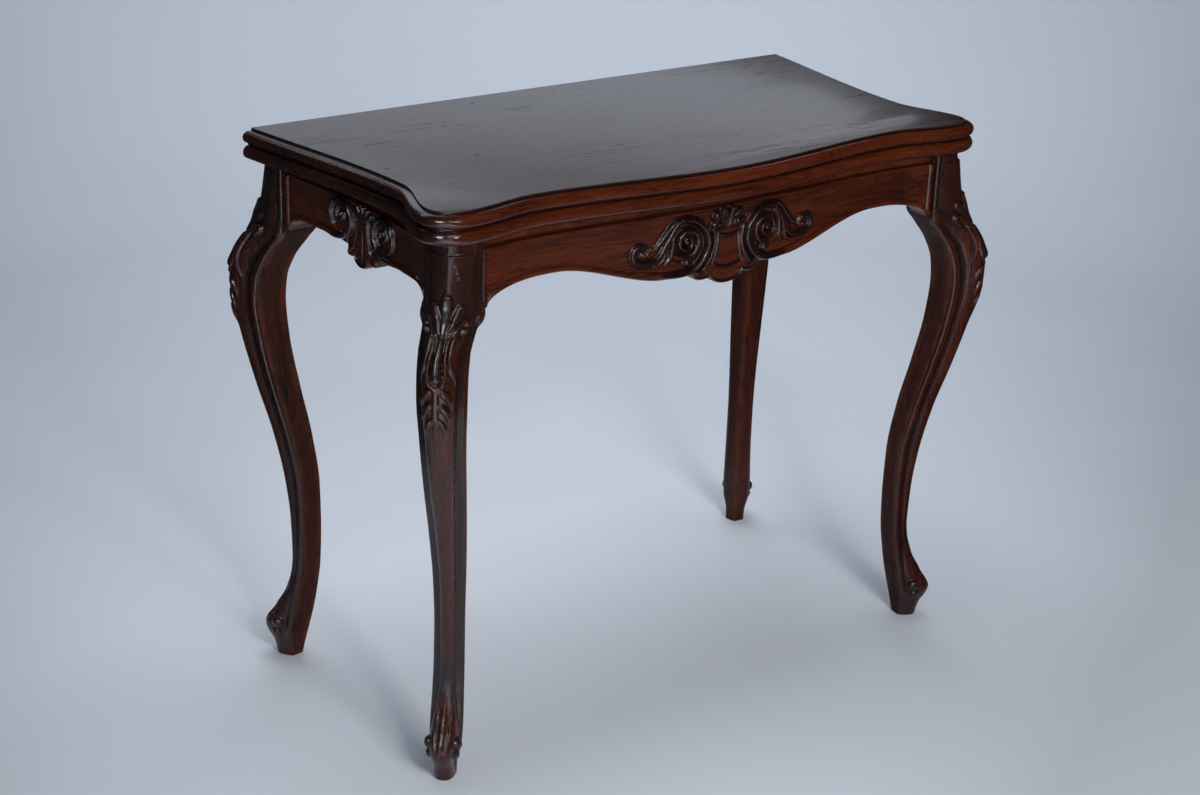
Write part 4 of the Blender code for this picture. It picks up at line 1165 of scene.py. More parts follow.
        arc_out = shoulder + (front - shoulder) * np.sin(turn) ** power
        arc_side = narrow * np.sign(np.cos(turn)) * np.abs(np.cos(turn)) ** power
        out = np.hstack([*outs, arc_out, *(part[:, ::-1] for part in outs[::-1])])[:, :-1]
        across = np.hstack([*sides, arc_side, *(-part[:, ::-1] for part in sides[::-1])])[:, :-1]
        across = across + post * (self.post_set[1] - self.post_set[0]) / DIAGONAL
        points = np.stack([out, across, np.broadcast_to(heights[:, None], out.shape)], axis=-1)
        steps = np.linalg.norm(np.diff(points[..., :2], axis=1), axis=-1)
        gone = np.concatenate([np.zeros((len(heights), 1)), np.cumsum(steps, axis=1)], axis=1)
        middle = self.back_steps + self.rib_steps + self.cove_steps + self.front_steps // 2
        return points, gone - gone[:, middle : middle + 1]

    def buttons(self, points: Grid, height: Grid) -> Grid:
        """Raises the foot's buttons and the curls on the ribs, which stand round in space.

        Args:
            points: Plain rings as (out, across, up).
            height: Carved height so far.

        Returns:
            The height with the buttons.
        """
        level, _, front, half = self.foot_rows[self.button_row]
        edge = self.back_steps + self.rib_steps - self.ear_column
        ear = int(np.argmin(np.abs(points[:, 0, 2] - self.frame_top + self.ear_drop)))
        for side in (-1, 1):
            for share, rise, radius in self.foot_buttons:
                centre = (share * front, side * self.button_side * half, level + rise)
                square = radius**2 - np.sum((points - centre) ** 2, axis=-1)
                height = np.maximum(height, np.sqrt(np.maximum(square, 0.0)) * self.button_rise)
        for side in (-1, 1):
            apart = (points - points[ear, side * edge]) / self.ear_radii
            curl = np.maximum(1 - np.sum(apart**2, axis=-1), 0.0) ** self.ear_softness
            height = height + self.ear_rise * curl
        return height

    def rings(self) -> tuple[Grid, dict[str, Grid]]:
        """Carved rings in the leg's own diagonal plane, and their wear.

        Returns:
            The rings, and masks by name.
        """
        points, along = self.sections(self.heights())
        normals = face_normals(points)
        aside, up = np.abs(along), points[..., 2]
        first = self.back_steps + self.rib_steps
        reach = aside[:, first + self.cove_steps, None]
        past = (aside - reach) / np.maximum(aside[:, first, None] - reach, TINY)
        cove = np.sin(math.pi * np.clip(past, 0, 1))
        relief = Relief(aside, up)
        reed = self.reed_rise * dome(np.clip((reach - aside) / self.reed_half, -1, 1))
        line = self.reed_line * np.exp(-(((reach - aside - 2 * self.reed_half) / self.line_half) ** 2))
        fade = ramp(up, *self.reed_start) * (1 - ramp(up, *self.reed_end))
        relief.height = fade * (reed - line - cove * self.cove_depth)
        relief.carve(self.forms())
        relief.soften(self.softening)
        height = self.buttons(points, relief.height * (1 - ramp(past, *self.front_fade)))
        carved = points + normals * height[..., None]
        carved[0, :, 2] = 0.0
        up = carved[..., 2]
        masks = worn(carved, normals)
        # Painted shade in the cove, joined with the grime that rises on the upper leg
        cove_shade = self.cove_shade * cove * (1 - ramp(up, *self.reed_end))
        grime_and_shade = np.maximum(self.grime_and_shade * ramp(up, *self.grime_rise), cove_shade)
        masks["hollow"] = np.maximum(darkened(masks["hollow"], height, self.old_polish), grime_and_shade)
        masks["dull"] = np.zeros_like(height)
        masks["dull"][:, : self.back_steps] = masks["dull"][:, 1 - self.back_steps :] = 1.0
        neck = self.neck_rings(points[-1])
        for label, mask in masks.items():
            masks[label] = np.concatenate([mask, np.repeat(mask[-1:], len(neck), axis=0)])
        return np.concatenate([carved, neck]), masks

    def neck_rings(self, last: Grid) -> Grid:
        """Rings of the post drawn in under the leaf.

        Args:
            last: Ring that the neck goes on from.

        Returns:
            Array of rings by points by three.
        """
        middle, draw = last[:, 0].mean(), self.neck_depth / (self.post_side / DIAGONAL)
        forward = last[:, 0] > middle
        rings = []
        for share, height in (*self.neck_steps, (1.0, self.frame_top - self.neck_base)):
            ring = last.copy()
            ring[forward, 0] = middle + (last[forward, 0] - middle) * (1 - share * draw)
            ring[forward, 1] = last[forward, 1] * (1 - self.neck_side * share * draw)
            ring[:, 2] = self.neck_base + height
            rings.append(ring)
        return np.stack(rings)

    def build(self, material: Material) -> None:
        """Makes the four legs from one set of rings.

        Args:
            material: Finish of the legs.
        """
        rings, masks = self.rings()
        out, across, up = rings[..., 0], rings[..., 1], rings[..., 2]
        x = self.foot_x + (out + across) / DIAGONAL
        y = self.foot_y + (out - across) / DIAGONAL
        for depth, sy in (("front", -1), ("back", 1)):
            for hand, sx in (("left", -1), ("right", 1)):
                node, points = f"leg_{depth}_{hand}", np.stack([sx * x, sy * y, up], axis=-1)
                obj = skin(f"carved_{node}", points, masks, self.smooth_angle)
                hand_over(obj, material, "frame", "mahogany", node)


# Aprons


class Side(Enum):
    """Sides of the frame, with the table's (x, y) of the directions along and out."""

    FRONT = ((1, 0), (0, -1))
    LEFT = ((0, 1), (-1, 0))
    RIGHT = ((0, 1), (1, 0))

    def place(self, along: Grid, out: Grid, up: Grid) -> Grid:
        """Points of an apron in table coordinates."""
        (ax, ay), (ox, oy) = self.value
        return np.stack([ax * along + ox * out, ay * along + oy * out, up], axis=-1)


@dataclass
class Apron:
    """A moulded apron with carving in the middle; subclasses give its plan and carving."""

    end: float
    inner: float
    arch: Knots
    bracket_length: float
    lip_drop: float
    lip_middle: Pair
    lip_side: Pair
    frame_top: float = 0.7081
    neck_base: float = 0.6956
    neck_depth: float = 0.0065
    neck_levels: Pair = (0.0042, 0.0016)
    bead_height: float = 0.0080
    bead_middle: float = 0.46
    bead_out: float = 0.0034
    bead_reach: Pair = (0.060, 0.082)
    groove_level: float = 1.12
    groove_half: float = 0.0013
    groove_depth: float = 0.0020
    hollow_depth: float = 0.0010
    hollow_reach: Pair = (0.070, 0.092)
    end_bead_width: float = 0.0060
    end_bead_out: float = 0.0026
    end_bead_zone: float = 0.012
    end_bead_steps: int = 22
    end_drop: float = 0.085
    bracket_flat: float = 0.007
    top_round: float = 0.0016
    low_round: float = 0.0012
    plate_out: float = 0.004
    plate_thick: float = 0.018
    plate_clear: float = 0.0005
    edge_step: float = 0.0002
    carved_reach: float = 0.156
    fine_step: float = 0.0008
    coarse_step: float = 0.0030
    face_points: int = 150
    neck_points: int = 3
    softening: int = 3
    old_polish: float = 0.52
    # Painted shade laid evenly over the whole face, as the least darkness of its dark mask; used on the side
    # aprons
    grime_and_shade: float = 0.0
    smooth_angle: float = 70.0

    def face(self, s: Grid) -> Grid:
        """Distance of the plain face from the table's centre."""
        raise NotImplementedError

    def forms(self) -> Iterator[Form]:
        """Carving of the face."""
        raise NotImplementedError

    def edge(self, s: Grid) -> Grid:
        """Height of the lower edge: arched, then falling in a hollow curve to a short flat beside the leg.

        Args:
            s: Places along the apron.

        Returns:
            One height for each place.
        """
        a, (reach, drop) = np.abs(s), self.arch[-1]
        share = (a - self.end + self.bracket_length) / (self.bracket_length - self.bracket_flat)
        bracket = drop + (self.end_drop - drop) * (1 - dome(np.clip(share, 0, 1)))
        return self.frame_top - np.where(a > reach, bracket, eased(self.arch, a, start=0.0, end=0.0))

    def lip(self, s: Grid) -> Grid:
        """Height of three round lobes under the carving, or the frame's top where there are none.

        Args:
            s: Places along the apron.

        Returns:
            One height for each place.
        """
        (half, deep), (reach, shallow), a = self.lip_middle, self.lip_side, np.abs(s)
        outer = (reach - half) / 2
        drop = np.where(a < half, dome(a / half) * deep, dome((a - half - outer) / outer) * shallow)
        return np.where(a < reach, self.frame_top - self.lip_drop - drop, self.frame_top)

    def stations(self) -> Grid:
        """Places along the apron: close in the carving and on the end beads.

        Returns:
            Growing places, the same on both sides of the middle.
        """
        bead = self.end - self.end_bead_zone
        half = np.concatenate([np.arange(0.0, self.carved_reach, self.fine_step),
                               np.arange(self.carved_reach, bead, self.coarse_step),
                               np.linspace(bead, self.end, self.end_bead_steps)])
        return np.concatenate([-half[:0:-1], half])

    def surface(self, s: Grid) -> tuple[Grid, Grid, Grid]:
        """Outline of each section and the carved height of its face.

        Args:
            s: Places along the apron.

        Returns:
            Distances from the table's centre, heights, and the carved height of the face.
        """
        face, edge, along = self.face(s)[:, None], self.edge(s)[:, None], np.abs(s)[:, None]
        low = np.minimum(edge - self.edge_step, self.lip(s)[:, None])
        up = self.neck_base + (low - self.neck_base) * np.linspace(0, 1, self.face_points)[None]
        above, middle, half = up - edge, self.bead_height * self.bead_middle, self.end_bead_width / 2
        bead = self.bead_out * dome(np.clip((above - middle) / middle, -1, 1))
        cut = np.exp(-(((above - self.bead_height * self.groove_level) / self.groove_half) ** 2))
        share = np.clip(above / np.maximum(self.neck_base - edge, TINY), 0, 1)
        hollow = self.hollow_depth * np.sin(math.pi * share) * ramp(along, *self.hollow_reach)
        upright = self.end_bead_out * dome(np.clip((along - self.end + half) / half, -1, 1))
        moulding = (bead - self.groove_depth * cut) * ramp(along, *self.bead_reach)
        relief = Relief(along, up)
        relief.height = np.maximum(moulding - hollow, upright)
        relief.carve(self.forms())
        relief.soften(self.softening)
        out = face + relief.height
        for inside, radius in ((self.neck_base - up, self.top_round), (up - low, self.low_round)):
            out = out - radius * (1 - dome(np.clip(1 - inside / radius, 0, 1)))
        neck_out = np.repeat(face - self.neck_depth, self.neck_points, axis=1)
        neck_up = np.array([[self.frame_top, *(self.neck_base + level for level in self.neck_levels)]])
        plate_back = np.maximum(face + self.plate_out - self.plate_thick, self.inner + self.plate_clear)
        back_out = np.hstack([plate_back, plate_back, np.full((len(s), 2), self.inner)])
        back_up = np.hstack([low, edge, edge + self.edge_step, np.full_like(edge, self.frame_top)])
        whole_up = np.hstack([np.repeat(neck_up, len(s), axis=0), up, back_up])
        return np.hstack([neck_out, out, back_out]), whole_up, relief.height

    def build(self, side: Side, material: Material) -> None:
        """Makes the apron of one side.

        Args:
            side: Side of the table.
            material: Finish of the apron.
        """
        node = f"{side.name.lower()}_apron"
        s = self.stations()
        out, up, carved = self.surface(s)
        rings = side.place(np.broadcast_to(s[:, None], out.shape), out, up)
        masks = worn(rings, face_normals(rings))
        first, last = self.neck_points, self.neck_points + self.face_points
        hollow = masks["hollow"]
        hollow[:, :first] = 0.0
        dirt = darkened(hollow[:, first:last], carved, self.old_polish)
        # Painted shade: on the side aprons the whole face is darkened at least this much
        hollow[:, first:last] = np.maximum(dirt, self.grime_and_shade)
        obj = skin(f"carved_{node}", rings, masks, self.smooth_angle)
        hand_over(obj, material, "frame", "mahogany", node)


@dataclass
class FrontApron(Apron):
    """Serpentine front apron with a shield, a shell and two scrolls with leaf tails."""

    end: float = 0.3647
    inner: float = 0.181
    arch: Knots = ((0.0, 0.0965), (0.088, 0.0965), (0.258, 0.0605))
    bracket_length: float = 0.0947
    lip_drop: float = 0.101
    lip_middle: Pair = (0.026, 0.013)
    lip_side: Pair = (0.050, 0.0035)
    plan: Knots = ((0.0, 0.2165), (0.290, 0.2040), (0.365, 0.2100))
    # Lean, length and width of the shell's petals
    petals: tuple = ((18.0, 23.5, 10.0), (46.0, 25.0, 11.5), (76.0, 22.5, 10.5))
    petal_foot: float = 667.5
    petal_bend: float = 0.3

    def face(self, s: Grid) -> Grid:
        """Serpentine plan."""
        return eased(self.plan, np.abs(s), start=0.0)

    def forms(self) -> Iterator[Form]:
        """Cartouche: shield in the middle, a scroll and its leaf on each side, and a shell above."""
        for part in (self.shield, self.scroll, self.leaf, self.shell):
            yield from part()

    def shield(self) -> Iterator[Form]:
        """Waisted plate with a double fillet round a plain panel, over a lobed lip."""
        outline = ((590, 52), (611, 50), (616.8, 41), (627.5, 31), (640, 25.2), (651, 22.5), (668, 25),
                   (672, 25.2))
        yield Plate(outline, (664, 670), 3.4)
        border = ((24.6, 668), (22, 652), (24, 640), (29, 629), (38, 618), (47, 613.5))
        yield Strand(border, (4.0, 4.2, 4.6), (6.2, 5.8, 5.0), sunk=1.0)
        for path in (((0, 657.6), (9, 658.8), (16.4, 662)),
                     ((16.4, 662), (17, 650), (19, 638), (23.6, 622.4)),
                     ((23.6, 622.4), (12, 618.2), (0, 616.6))):
            yield Strand(path, (3.4, 3.4), (5.8, 5.8), sunk=0.9, steps=6)
        middle = lobe((0, 609.5), (26, 13), (0.05, QUARTER))
        yield Strand(middle, (3.6, 4.2), (5.6, 6.2), sunk=0.8, steps=1)
        beside = lobe((38, 609.6), (11.6, 3.6), (0.1, math.pi - 0.1))
        yield Strand(beside, (3.0, 3.6, 3.0), (5.0, 5.6, 5.0), sunk=0.7, steps=1)
        yield Scoop((0, 607.5), (22, 8), 2.2)
        yield Scoop((38, 612.5), (7.5, 4), 1.8)

    def scroll(self) -> Iterator[Form]:
        """Bold rim that leaves the lower edge, turns round the scroll and ends in an inner spiral."""
        yield Scoop((60, 653), (34, 38), 2.4)
        rim = ((140, 627.2), (118, 621.5), (98, 617), (78, 615.4), (62, 616.8), (48.5, 622.5), (38.8, 632),
               (32.2, 645), (31.6, 656), (35.4, 666.5), (43, 676), (54, 683.2), (66, 686.6), (79, 685))
        yield Strand(rim, (4.0, 7.4, 8.8, 8.4, 7.2), (0.0, 5.2, 7.8, 8.0, 6.0), sunk=1.2)
        turns = ((-40, 1.6), (230, 8.6), (360, 12.4), (440, 14.4), (530, 17.4), (620, 19.8), (705, 26))
        spiral = volute((64.5, 657), turns, steps=90)
        yield Strand(spiral, (3.6, 6.0, 7.4, 7.6, 5.0), (4.2, 6.4, 6.4, 5.2, 2.6), sunk=1.5, steps=1)
        yield Button((64.5, 656.8), (3.4, 3.4), 6.2)
        yield Button((63, 630), (4.8, 4.4), 5.8)

    def leaf(self) -> Iterator[Form]:
        """Strands that fall from the top of the scroll; the longest curls up at its end."""
        long = ((78, 684), (84, 677), (90, 667), (97, 656), (103, 646), (112, 639.5), (123, 637.4),
                (134, 638.6), (142.5, 644), (145, 651.5), (141.2, 659), (133.5, 661.4), (126, 658.4),
                (123.2, 652), (126.4, 647.4))
        widths, rises = (6.0, 6.6, 7.0, 8.0, 6.6, 4.2), (5.8, 5.8, 5.6, 6.2, 6.0, 4.4)
        yield Strand(long, widths, rises, flute=0.22, sunk=1.0)
        upper = ((82, 687), (90, 680.5), (98, 671), (106, 661.5), (112, 656), (118.5, 654))
        yield Strand(upper, (5.4, 6.2, 6.0, 3.0), (5.4, 5.8, 5.2, 2.6), sunk=0.9)
        lower = ((80, 676), (85.4, 664), (87.2, 652), (88.6, 640), (95, 632.6))
        yield Strand(lower, (4.6, 5.8, 6.0, 3.4), (4.8, 5.4, 4.8, 2.2), sunk=0.9)
        last = ((92, 664), (95.5, 652), (98.5, 641), (104, 634.5), (112, 632.2))
        yield Strand(last, (4.0, 5.2, 4.6, 2.4), (4.6, 4.8, 3.6, 1.4), sunk=0.8)
        yield Button((130, 649.5), (3.4, 3.4), 4.0)

    def shell(self) -> Iterator[Form]:
        """Fan of petals over the shield, with a small curl at each foot."""
        for angle, length, width in self.petals:
            path = petal(self.petal_foot, angle, length, self.petal_bend, (0.15, 0.4, 0.7, 1.0))
            widths = scaled(width, 0.25, 0.55, 0.85, 1.0)
            yield Strand(path, widths, (5.0, 6.2, 7.4, 7.8), flute=0.42, sunk=1.2)
        yield Groove(((0, 668), (0, 694)), 2.6, 3.4)
        curl = volute((14.2, 673.8), ((60, 6.2), (520, 1.6)), steps=53)
        yield Strand(curl, (3.4, 3.4, 2.8), (5.2, 6.2, 6.6), sunk=0.8, steps=1)
        yield Button((14.2, 673.8), (2.6, 2.6), 7.4)


@dataclass
class SideApron(Apron):
    """Hollow side apron with a hanging leaf between two scrolls."""

    end: float = 0.1657
    inner: float = 0.376
    arch: Knots = ((0.0, 0.0705), (0.130, 0.0665))
    bracket_length: float = 0.0357
    lip_drop: float = 0.0785
    lip_middle: Pair = (0.016, 0.013)
    lip_side: Pair = (0.036, 0.0035)
    bead_reach: Pair = (0.050, 0.070)
    carved_reach: float = 0.118
    coarse_step: float = 0.0012
    # Painted shade over the whole face of both side aprons
    grime_and_shade: float = 0.10
    waist: float = 0.396
    flare: float = 0.013
    flare_reach: float = 0.166
    # Paths and widths of the petals over the pendant
    petals: tuple = ((((4, 676), (12, 682.5), (20, 687)), 7.5), (((2.2, 676), (6.6, 685), (11, 692)), 8.5),
                     (((0, 676), (0, 685.5), (0, 693)), 9.0))

    def face(self, s: Grid) -> Grid:
        """Hollow plan, like the top."""
        return self.waist + self.flare * (s / self.flare_reach) ** 2

    def forms(self) -> Iterator[Form]:
        """Hanging leaf with a middle rib, and a scroll on each side whose rim flows into the edge."""
        yield Plate(((614, 37), (632, 34), (645, 20), (664, 15), (688, 15.5)), (686, 692), 3.0)
        yield Scoop((0, 650), (13, 40), 1.6)
        rib = ((0, 672), (0, 655), (0, 638), (0, 621))
        yield Strand(rib, (4.6, 4.4, 4.0, 2.6), (3.6, 3.8, 4.2, 4.0), sunk=0.8)
        border = ((13.5, 684), (12.5, 668), (15, 650), (22, 637), (32, 631.5))
        yield Strand(border, (4.0, 4.2, 3.8), (5.0, 4.8, 4.2), sunk=1.0)
        for path, width in self.petals:
            yield Strand(path, scaled(width, 0.5, 0.9, 1.0), (4.0, 5.0, 5.4), flute=0.10, sunk=1.0)
        tip = lobe((0, 631.8), (16, 13), (0.05, QUARTER))
        yield Strand(tip, (3.2, 3.8), (5.0, 5.6), sunk=0.7, steps=1)
        rim = ((104, 646.2), (88, 645), (72, 643), (58, 643.4), (44, 647), (33, 654), (26.5, 664), (27, 675),
               (33, 685), (43, 691), (54, 691.4), (65, 687), (71.5, 678), (72, 667.5), (68, 658), (60, 651.5),
               (51, 650))
        yield Strand(rim, (4.4, 8.0, 9.0, 8.6, 7.6, 4.4), (0.0, 4.8, 6.0, 6.0, 5.4, 2.0), sunk=1.4)
        spiral = volute((49, 673.5), ((-60, 1.2), (500, 12.2)), steps=64)
        yield Strand(spiral, (2.8, 4.2, 4.6, 3.6), (4.0, 4.6, 4.2, 2.4), sunk=1.3, steps=1)
        yield Button((49, 673.5), (2.6, 2.6), 4.8)


# Leaves of the top


class LeafSide(Enum):
    """The two leaves, with the height of their base."""

    UPPER = 0.7295
    LOWER = 0.7084

    @property
    def label(self) -> str:
        """The leaf's name in the names of pieces."""
        return self.name.lower()

    def inner_face(self, thick: float) -> tuple[float, int]:
        """Height of the face that is inside when the top is folded, and the way into the wood from it."""
        return (self.value, 1) if self is LeafSide.UPPER else (self.value + thick, -1)


@dataclass
class Baize:
    """Playing cloth let into the inner face of a leaf."""

    half_width: float = 0.365
    front_y: float = -0.160
    back_y: float = 0.204
    radius: float = 0.040
    thick: float = 0.0012
    corner_steps: int = 16
    # Inset and share of the thickness of each ring
    levels: Knots = ((0.0004, 1.0), (0.0002, 0.55), (0.0005, 0.22), (0.0014, 0.10), (0.0040, 0.03),
                     (0.0120, 0.0))

    def outline(self, inset: float, past_back: float = 0.0) -> Grid:
        """Plan: square at the fold, rounded at the two front corners.

        Args:
            inset: How far the plan is drawn in.
            past_back: How far it runs past the fold.

        Returns:
            The points of the plan.
        """
        half, front, radius = self.half_width - inset, self.front_y + inset, self.radius - inset
        corner = lobe((half - radius, front + radius), (radius, radius), (0.0, QUARTER), self.corner_steps)
        right = np.vstack([[[half, self.back_y + past_back - max(inset, 0.0)]], corner])
        return np.vstack([right, right[::-1] * (-1, 1)])

    def build(self, side: LeafSide, material: Material) -> None:
        """Lays the cloth in a leaf, its edges pressed down.

        Args:
            side: Leaf that holds the cloth.
            material: The cloth's material.
        """
        face, inward = side.inner_face(TopLeaf.thick)
        rings = []
        for inset, depth in self.levels:
            plan = self.outline(inset)
            rings.append(np.column_stack([plan, np.full(len(plan), face + inward * depth * self.thick)]))
        obj = skin(f"{side.label}_baize_cloth", np.stack(rings))
        hand_over(obj, material, f"{side.label}_top", "baize", f"{side.label}_baize")


@dataclass
class TopLeaf:
    """One moulded leaf of the folding top."""

    side: LeafSide
    thick: float = 0.0205
    back_y: float = 0.204
    back_half: float = 0.435
    waist: Pair = (0.400, -0.095)
    ear_side: Pair = (0.427, -0.192)
    ear_front: Pair = (0.392, -0.2205)
    dip: Pair = (0.290, -0.2045)
    belly_y: float = -0.2325
    outline_steps: tuple[int, int, int] = (70, 30, 110)
    nose_out: float = 0.0125
    nose_steps: int = 26
    arris_out: float = 0.0055
    arris_height: float = 0.0015
    quirk_ledge: float = 0.0020
    quirk_drop: float = 0.0035
    # Offsets out and down of the points that lead from the field to the nose
    quirk: Knots = ((-0.0012, 0.0), (-0.0004, 0.0002), (0.0, 0.0008), (0.0, 0.0024), (0.0002, 0.0031),
                    (0.0010, 0.0033))
    rim: Knots = ((-0.0012, 0.0), (-0.0003, 0.0003))
    hinge_x: float = 0.405
    hinge_length: float = 0.036
    hinge_width: float = 0.020
    hinge_plate: float = 0.0016
    fold: Pair = (0.2043, 0.7292)
    knuckle: float = 0.0035
    knuckle_steps: int = 24
    # Rows painted fully dark as shade lines: the quirk under the field's edge, the gap under the upper leaf,
    # and the base
    quirk_shade_points: tuple[int, int] = (3, 7)
    gap_shade_points: tuple[int, int] = (0, 2)
    base_shade_points: int = 2
    wear: tuple[int, float] = (3, 0.0009)
    # Painted shade on the two ends of the leaf, where its edge runs from front to back
    end_shade: float = 0.38
    end_turn: Pair = (0.10, 0.60)
    gap: float = 0.0003
    cloth_gap: float = 0.0001
    cut_past: float = 0.004
    cloth_past: float = 0.01
    smooth_angle: float = 32.0

    def path(self) -> Grid:
        """Field outline from the back right corner round the front to the back left.

        Returns:
            The points of the path.
        """
        side_steps, ear_steps, front_steps = self.outline_steps
        side = (self.ear_side[::-1], self.waist[::-1], (self.back_y, self.back_half))
        y = np.linspace(self.back_y, self.ear_side[1], side_steps, endpoint=False)
        turn = np.linspace(0, QUARTER, ear_steps, endpoint=False)
        ear_x = self.ear_front[0] + (self.ear_side[0] - self.ear_front[0]) * np.cos(turn)
        ear_y = self.ear_side[1] + (self.ear_front[1] - self.ear_side[1]) * np.sin(turn)
        x = np.linspace(self.ear_front[0], 0.0, front_steps, endpoint=False)
        front = eased(((0.0, self.belly_y), self.dip, self.ear_front), x, start=0.0, end=0.0)
        parts = ((eased(side, y, start=0.0), y), (ear_x, ear_y), (x, front))
        half = np.vstack([np.stack(part, axis=1) for part in parts])
        return np.vstack([half, [[0.0, self.belly_y]], half[::-1] * (-1, 1)])

    def profile(self) -> tuple[Grid, Grid]:
        """Outward offsets and heights of the moulded edge, from the field down to the base.

        Returns:
            The offsets and the heights.
        """
        if self.side is LeafSide.UPPER:
            crown_out, crown_drop, arris = self.quirk_ledge, self.quirk_drop, self.arris_out
            lead_out, lead_drop = np.array(self.quirk).T
        else:
            crown_out, crown_drop, arris = self.arris_out, self.arris_height / 2, 0.0
            lead_out, lead_drop = np.array(self.rim).T + [[self.arris_out], [0.0]]
        top = self.thick - crown_drop
        middle = (top + self.arris_height) / 2
        share = np.linspace(0, 1, self.nose_steps)
        turn = QUARTER - math.pi * share
        base = crown_out + (arris - crown_out) * share
        out = base + (self.nose_out - base) * np.cos(turn)
        up = middle + (top - middle) * np.sin(turn)
        heights = np.concatenate([self.thick - lead_drop, up, [0.0]])
        return np.concatenate([lead_out, out, [arris]]), heights

    def rings(self) -> Grid:
        """Rings of the leaf from its top to its base.

        Returns:
            Array of rings by points by three.
        """
        path = self.path()
        tangents = np.gradient(path, axis=0)
        normals = np.stack([-tangents[:, 1], tangents[:, 0]], axis=1)
        normals /= np.linalg.norm(normals, axis=1)[:, None]
        normals[0], normals[-1] = (1.0, 0.0), (-1.0, 0.0)
        out, up = self.profile()
        plan = path[None] + normals[None] * out[:, None, None]
        heights = np.broadcast_to(self.side.value + up[:, None, None], (len(out), len(path), 1))
        return np.concatenate([plan, heights], axis=-1)

    def recesses(self, baize: Baize) -> list[Piece]:
        """Cutters for the cloth and the two hinges.

        Args:
            baize: Cloth that is laid in the leaf.

        Returns:
            Closed objects to cut with.
        """
        face, inward = self.side.inner_face(self.thick)
        past = face - inward * self.cut_past
        depth = sorted((past, face + inward * (baize.thick + self.cloth_gap)))
        cutters = [prism("cloth_recess", baize.outline(-self.gap, self.cloth_past), *depth)]
        depth = sorted((past, face + inward * (self.hinge_plate + self.gap)))
        reach = self.hinge_length / 2 + self.gap
        front, back = self.back_y - self.hinge_width - self.gap, self.fold[0] + self.cut_past
        ring = disc(self.fold, self.knuckle, self.knuckle_steps)
        for x in (-self.hinge_x, self.hinge_x):
            plan = np.array([(x - reach, front), (x + reach, front), (x + reach, back), (x - reach, back)])
            cutters.append(prism("hinge_recess", plan, *depth))
            ends = (x - reach - self.gap, x + reach + self.gap)
            barrel = np.stack([np.column_stack([np.full(len(ring), end), ring]) for end in ends])
            cutters.append(skin("barrel_notch", barrel))
        return cutters

    def build(self, material: Material, baize: Baize, others: list[Piece]) -> None:
        """Makes the leaf.

        Args:
            material: Its finish.
            baize: Cloth that is let into it.
            others: Further cutters.
        """
        label, rings = self.side.label, self.rings()
        masks = wear_masks(rings, face_normals(rings), *self.wear)
        # Painted shade: dark lines in the quirk or in the gap between the leaves, and along the base
        first, last = self.quirk_shade_points if self.side is LeafSide.UPPER else self.gap_shade_points
        masks["hollow"][first:last] = masks["hollow"][-self.base_shade_points :] = 1.0
        # Painted shade: darker on the ends, where the edge runs front to back
        slope = np.abs(np.gradient(rings[-1, :, :2], axis=0))
        ends = ramp(slope[:, 1] / np.maximum(slope.sum(axis=1), TINY * MM), *self.end_turn)
        masks["hollow"] = np.maximum(masks["hollow"], self.end_shade * ends)
        obj = skin(f"moulded_{label}_leaf", rings, masks)
        carve_out(obj, self.recesses(baize) + others)
        smooth(obj, self.smooth_angle)
        hand_over(obj, material, f"{label}_top", "mahogany", f"{label}_leaf")


# Joinery, hinges and pivot


@dataclass
class Joinery:
    """Plain pieces whose frame shape is right: copies with eased edges."""

    ease: float = 0.0008
    ease_steps: int = 2
    flat_angle: float = 1.0
    edge_angle: float = 40.0
    smooth_angle: float = 35.0

    def copy(self, node: str, material: Material, body: str, slot: str) -> None:
        """Stands a copy with rounded edges in a node's place.

        Args:
            node: Frame node.
            material: Finish of the copy.
            body: Body that carries it.
            slot: Handed on to hand_over, which does not use it.
        """
        bm = bmesh.new()
        bm.from_mesh(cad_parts[node].data)
        bmesh.ops.remove_doubles(bm, verts=bm.verts, dist=TINY)
        flat = math.radians(self.flat_angle)
        bmesh.ops.dissolve_limit(bm, angle_limit=flat, verts=bm.verts, edges=bm.edges)
        mesh = bpy.data.meshes.new(f"eased_{node}")
        bm.to_mesh(mesh)
        bm.free()
        obj = linked(f"eased_{node}", mesh)
        bevel = obj.modifiers.new("ease", "BEVEL")
        bevel.width, bevel.segments = self.ease, self.ease_steps
        bevel.limit_method, bevel.angle_limit = "ANGLE", math.radians(self.edge_angle)
        plain_mesh(obj)
        smooth(obj, self.smooth_angle)
        hand_over(obj, material, body, slot, node)


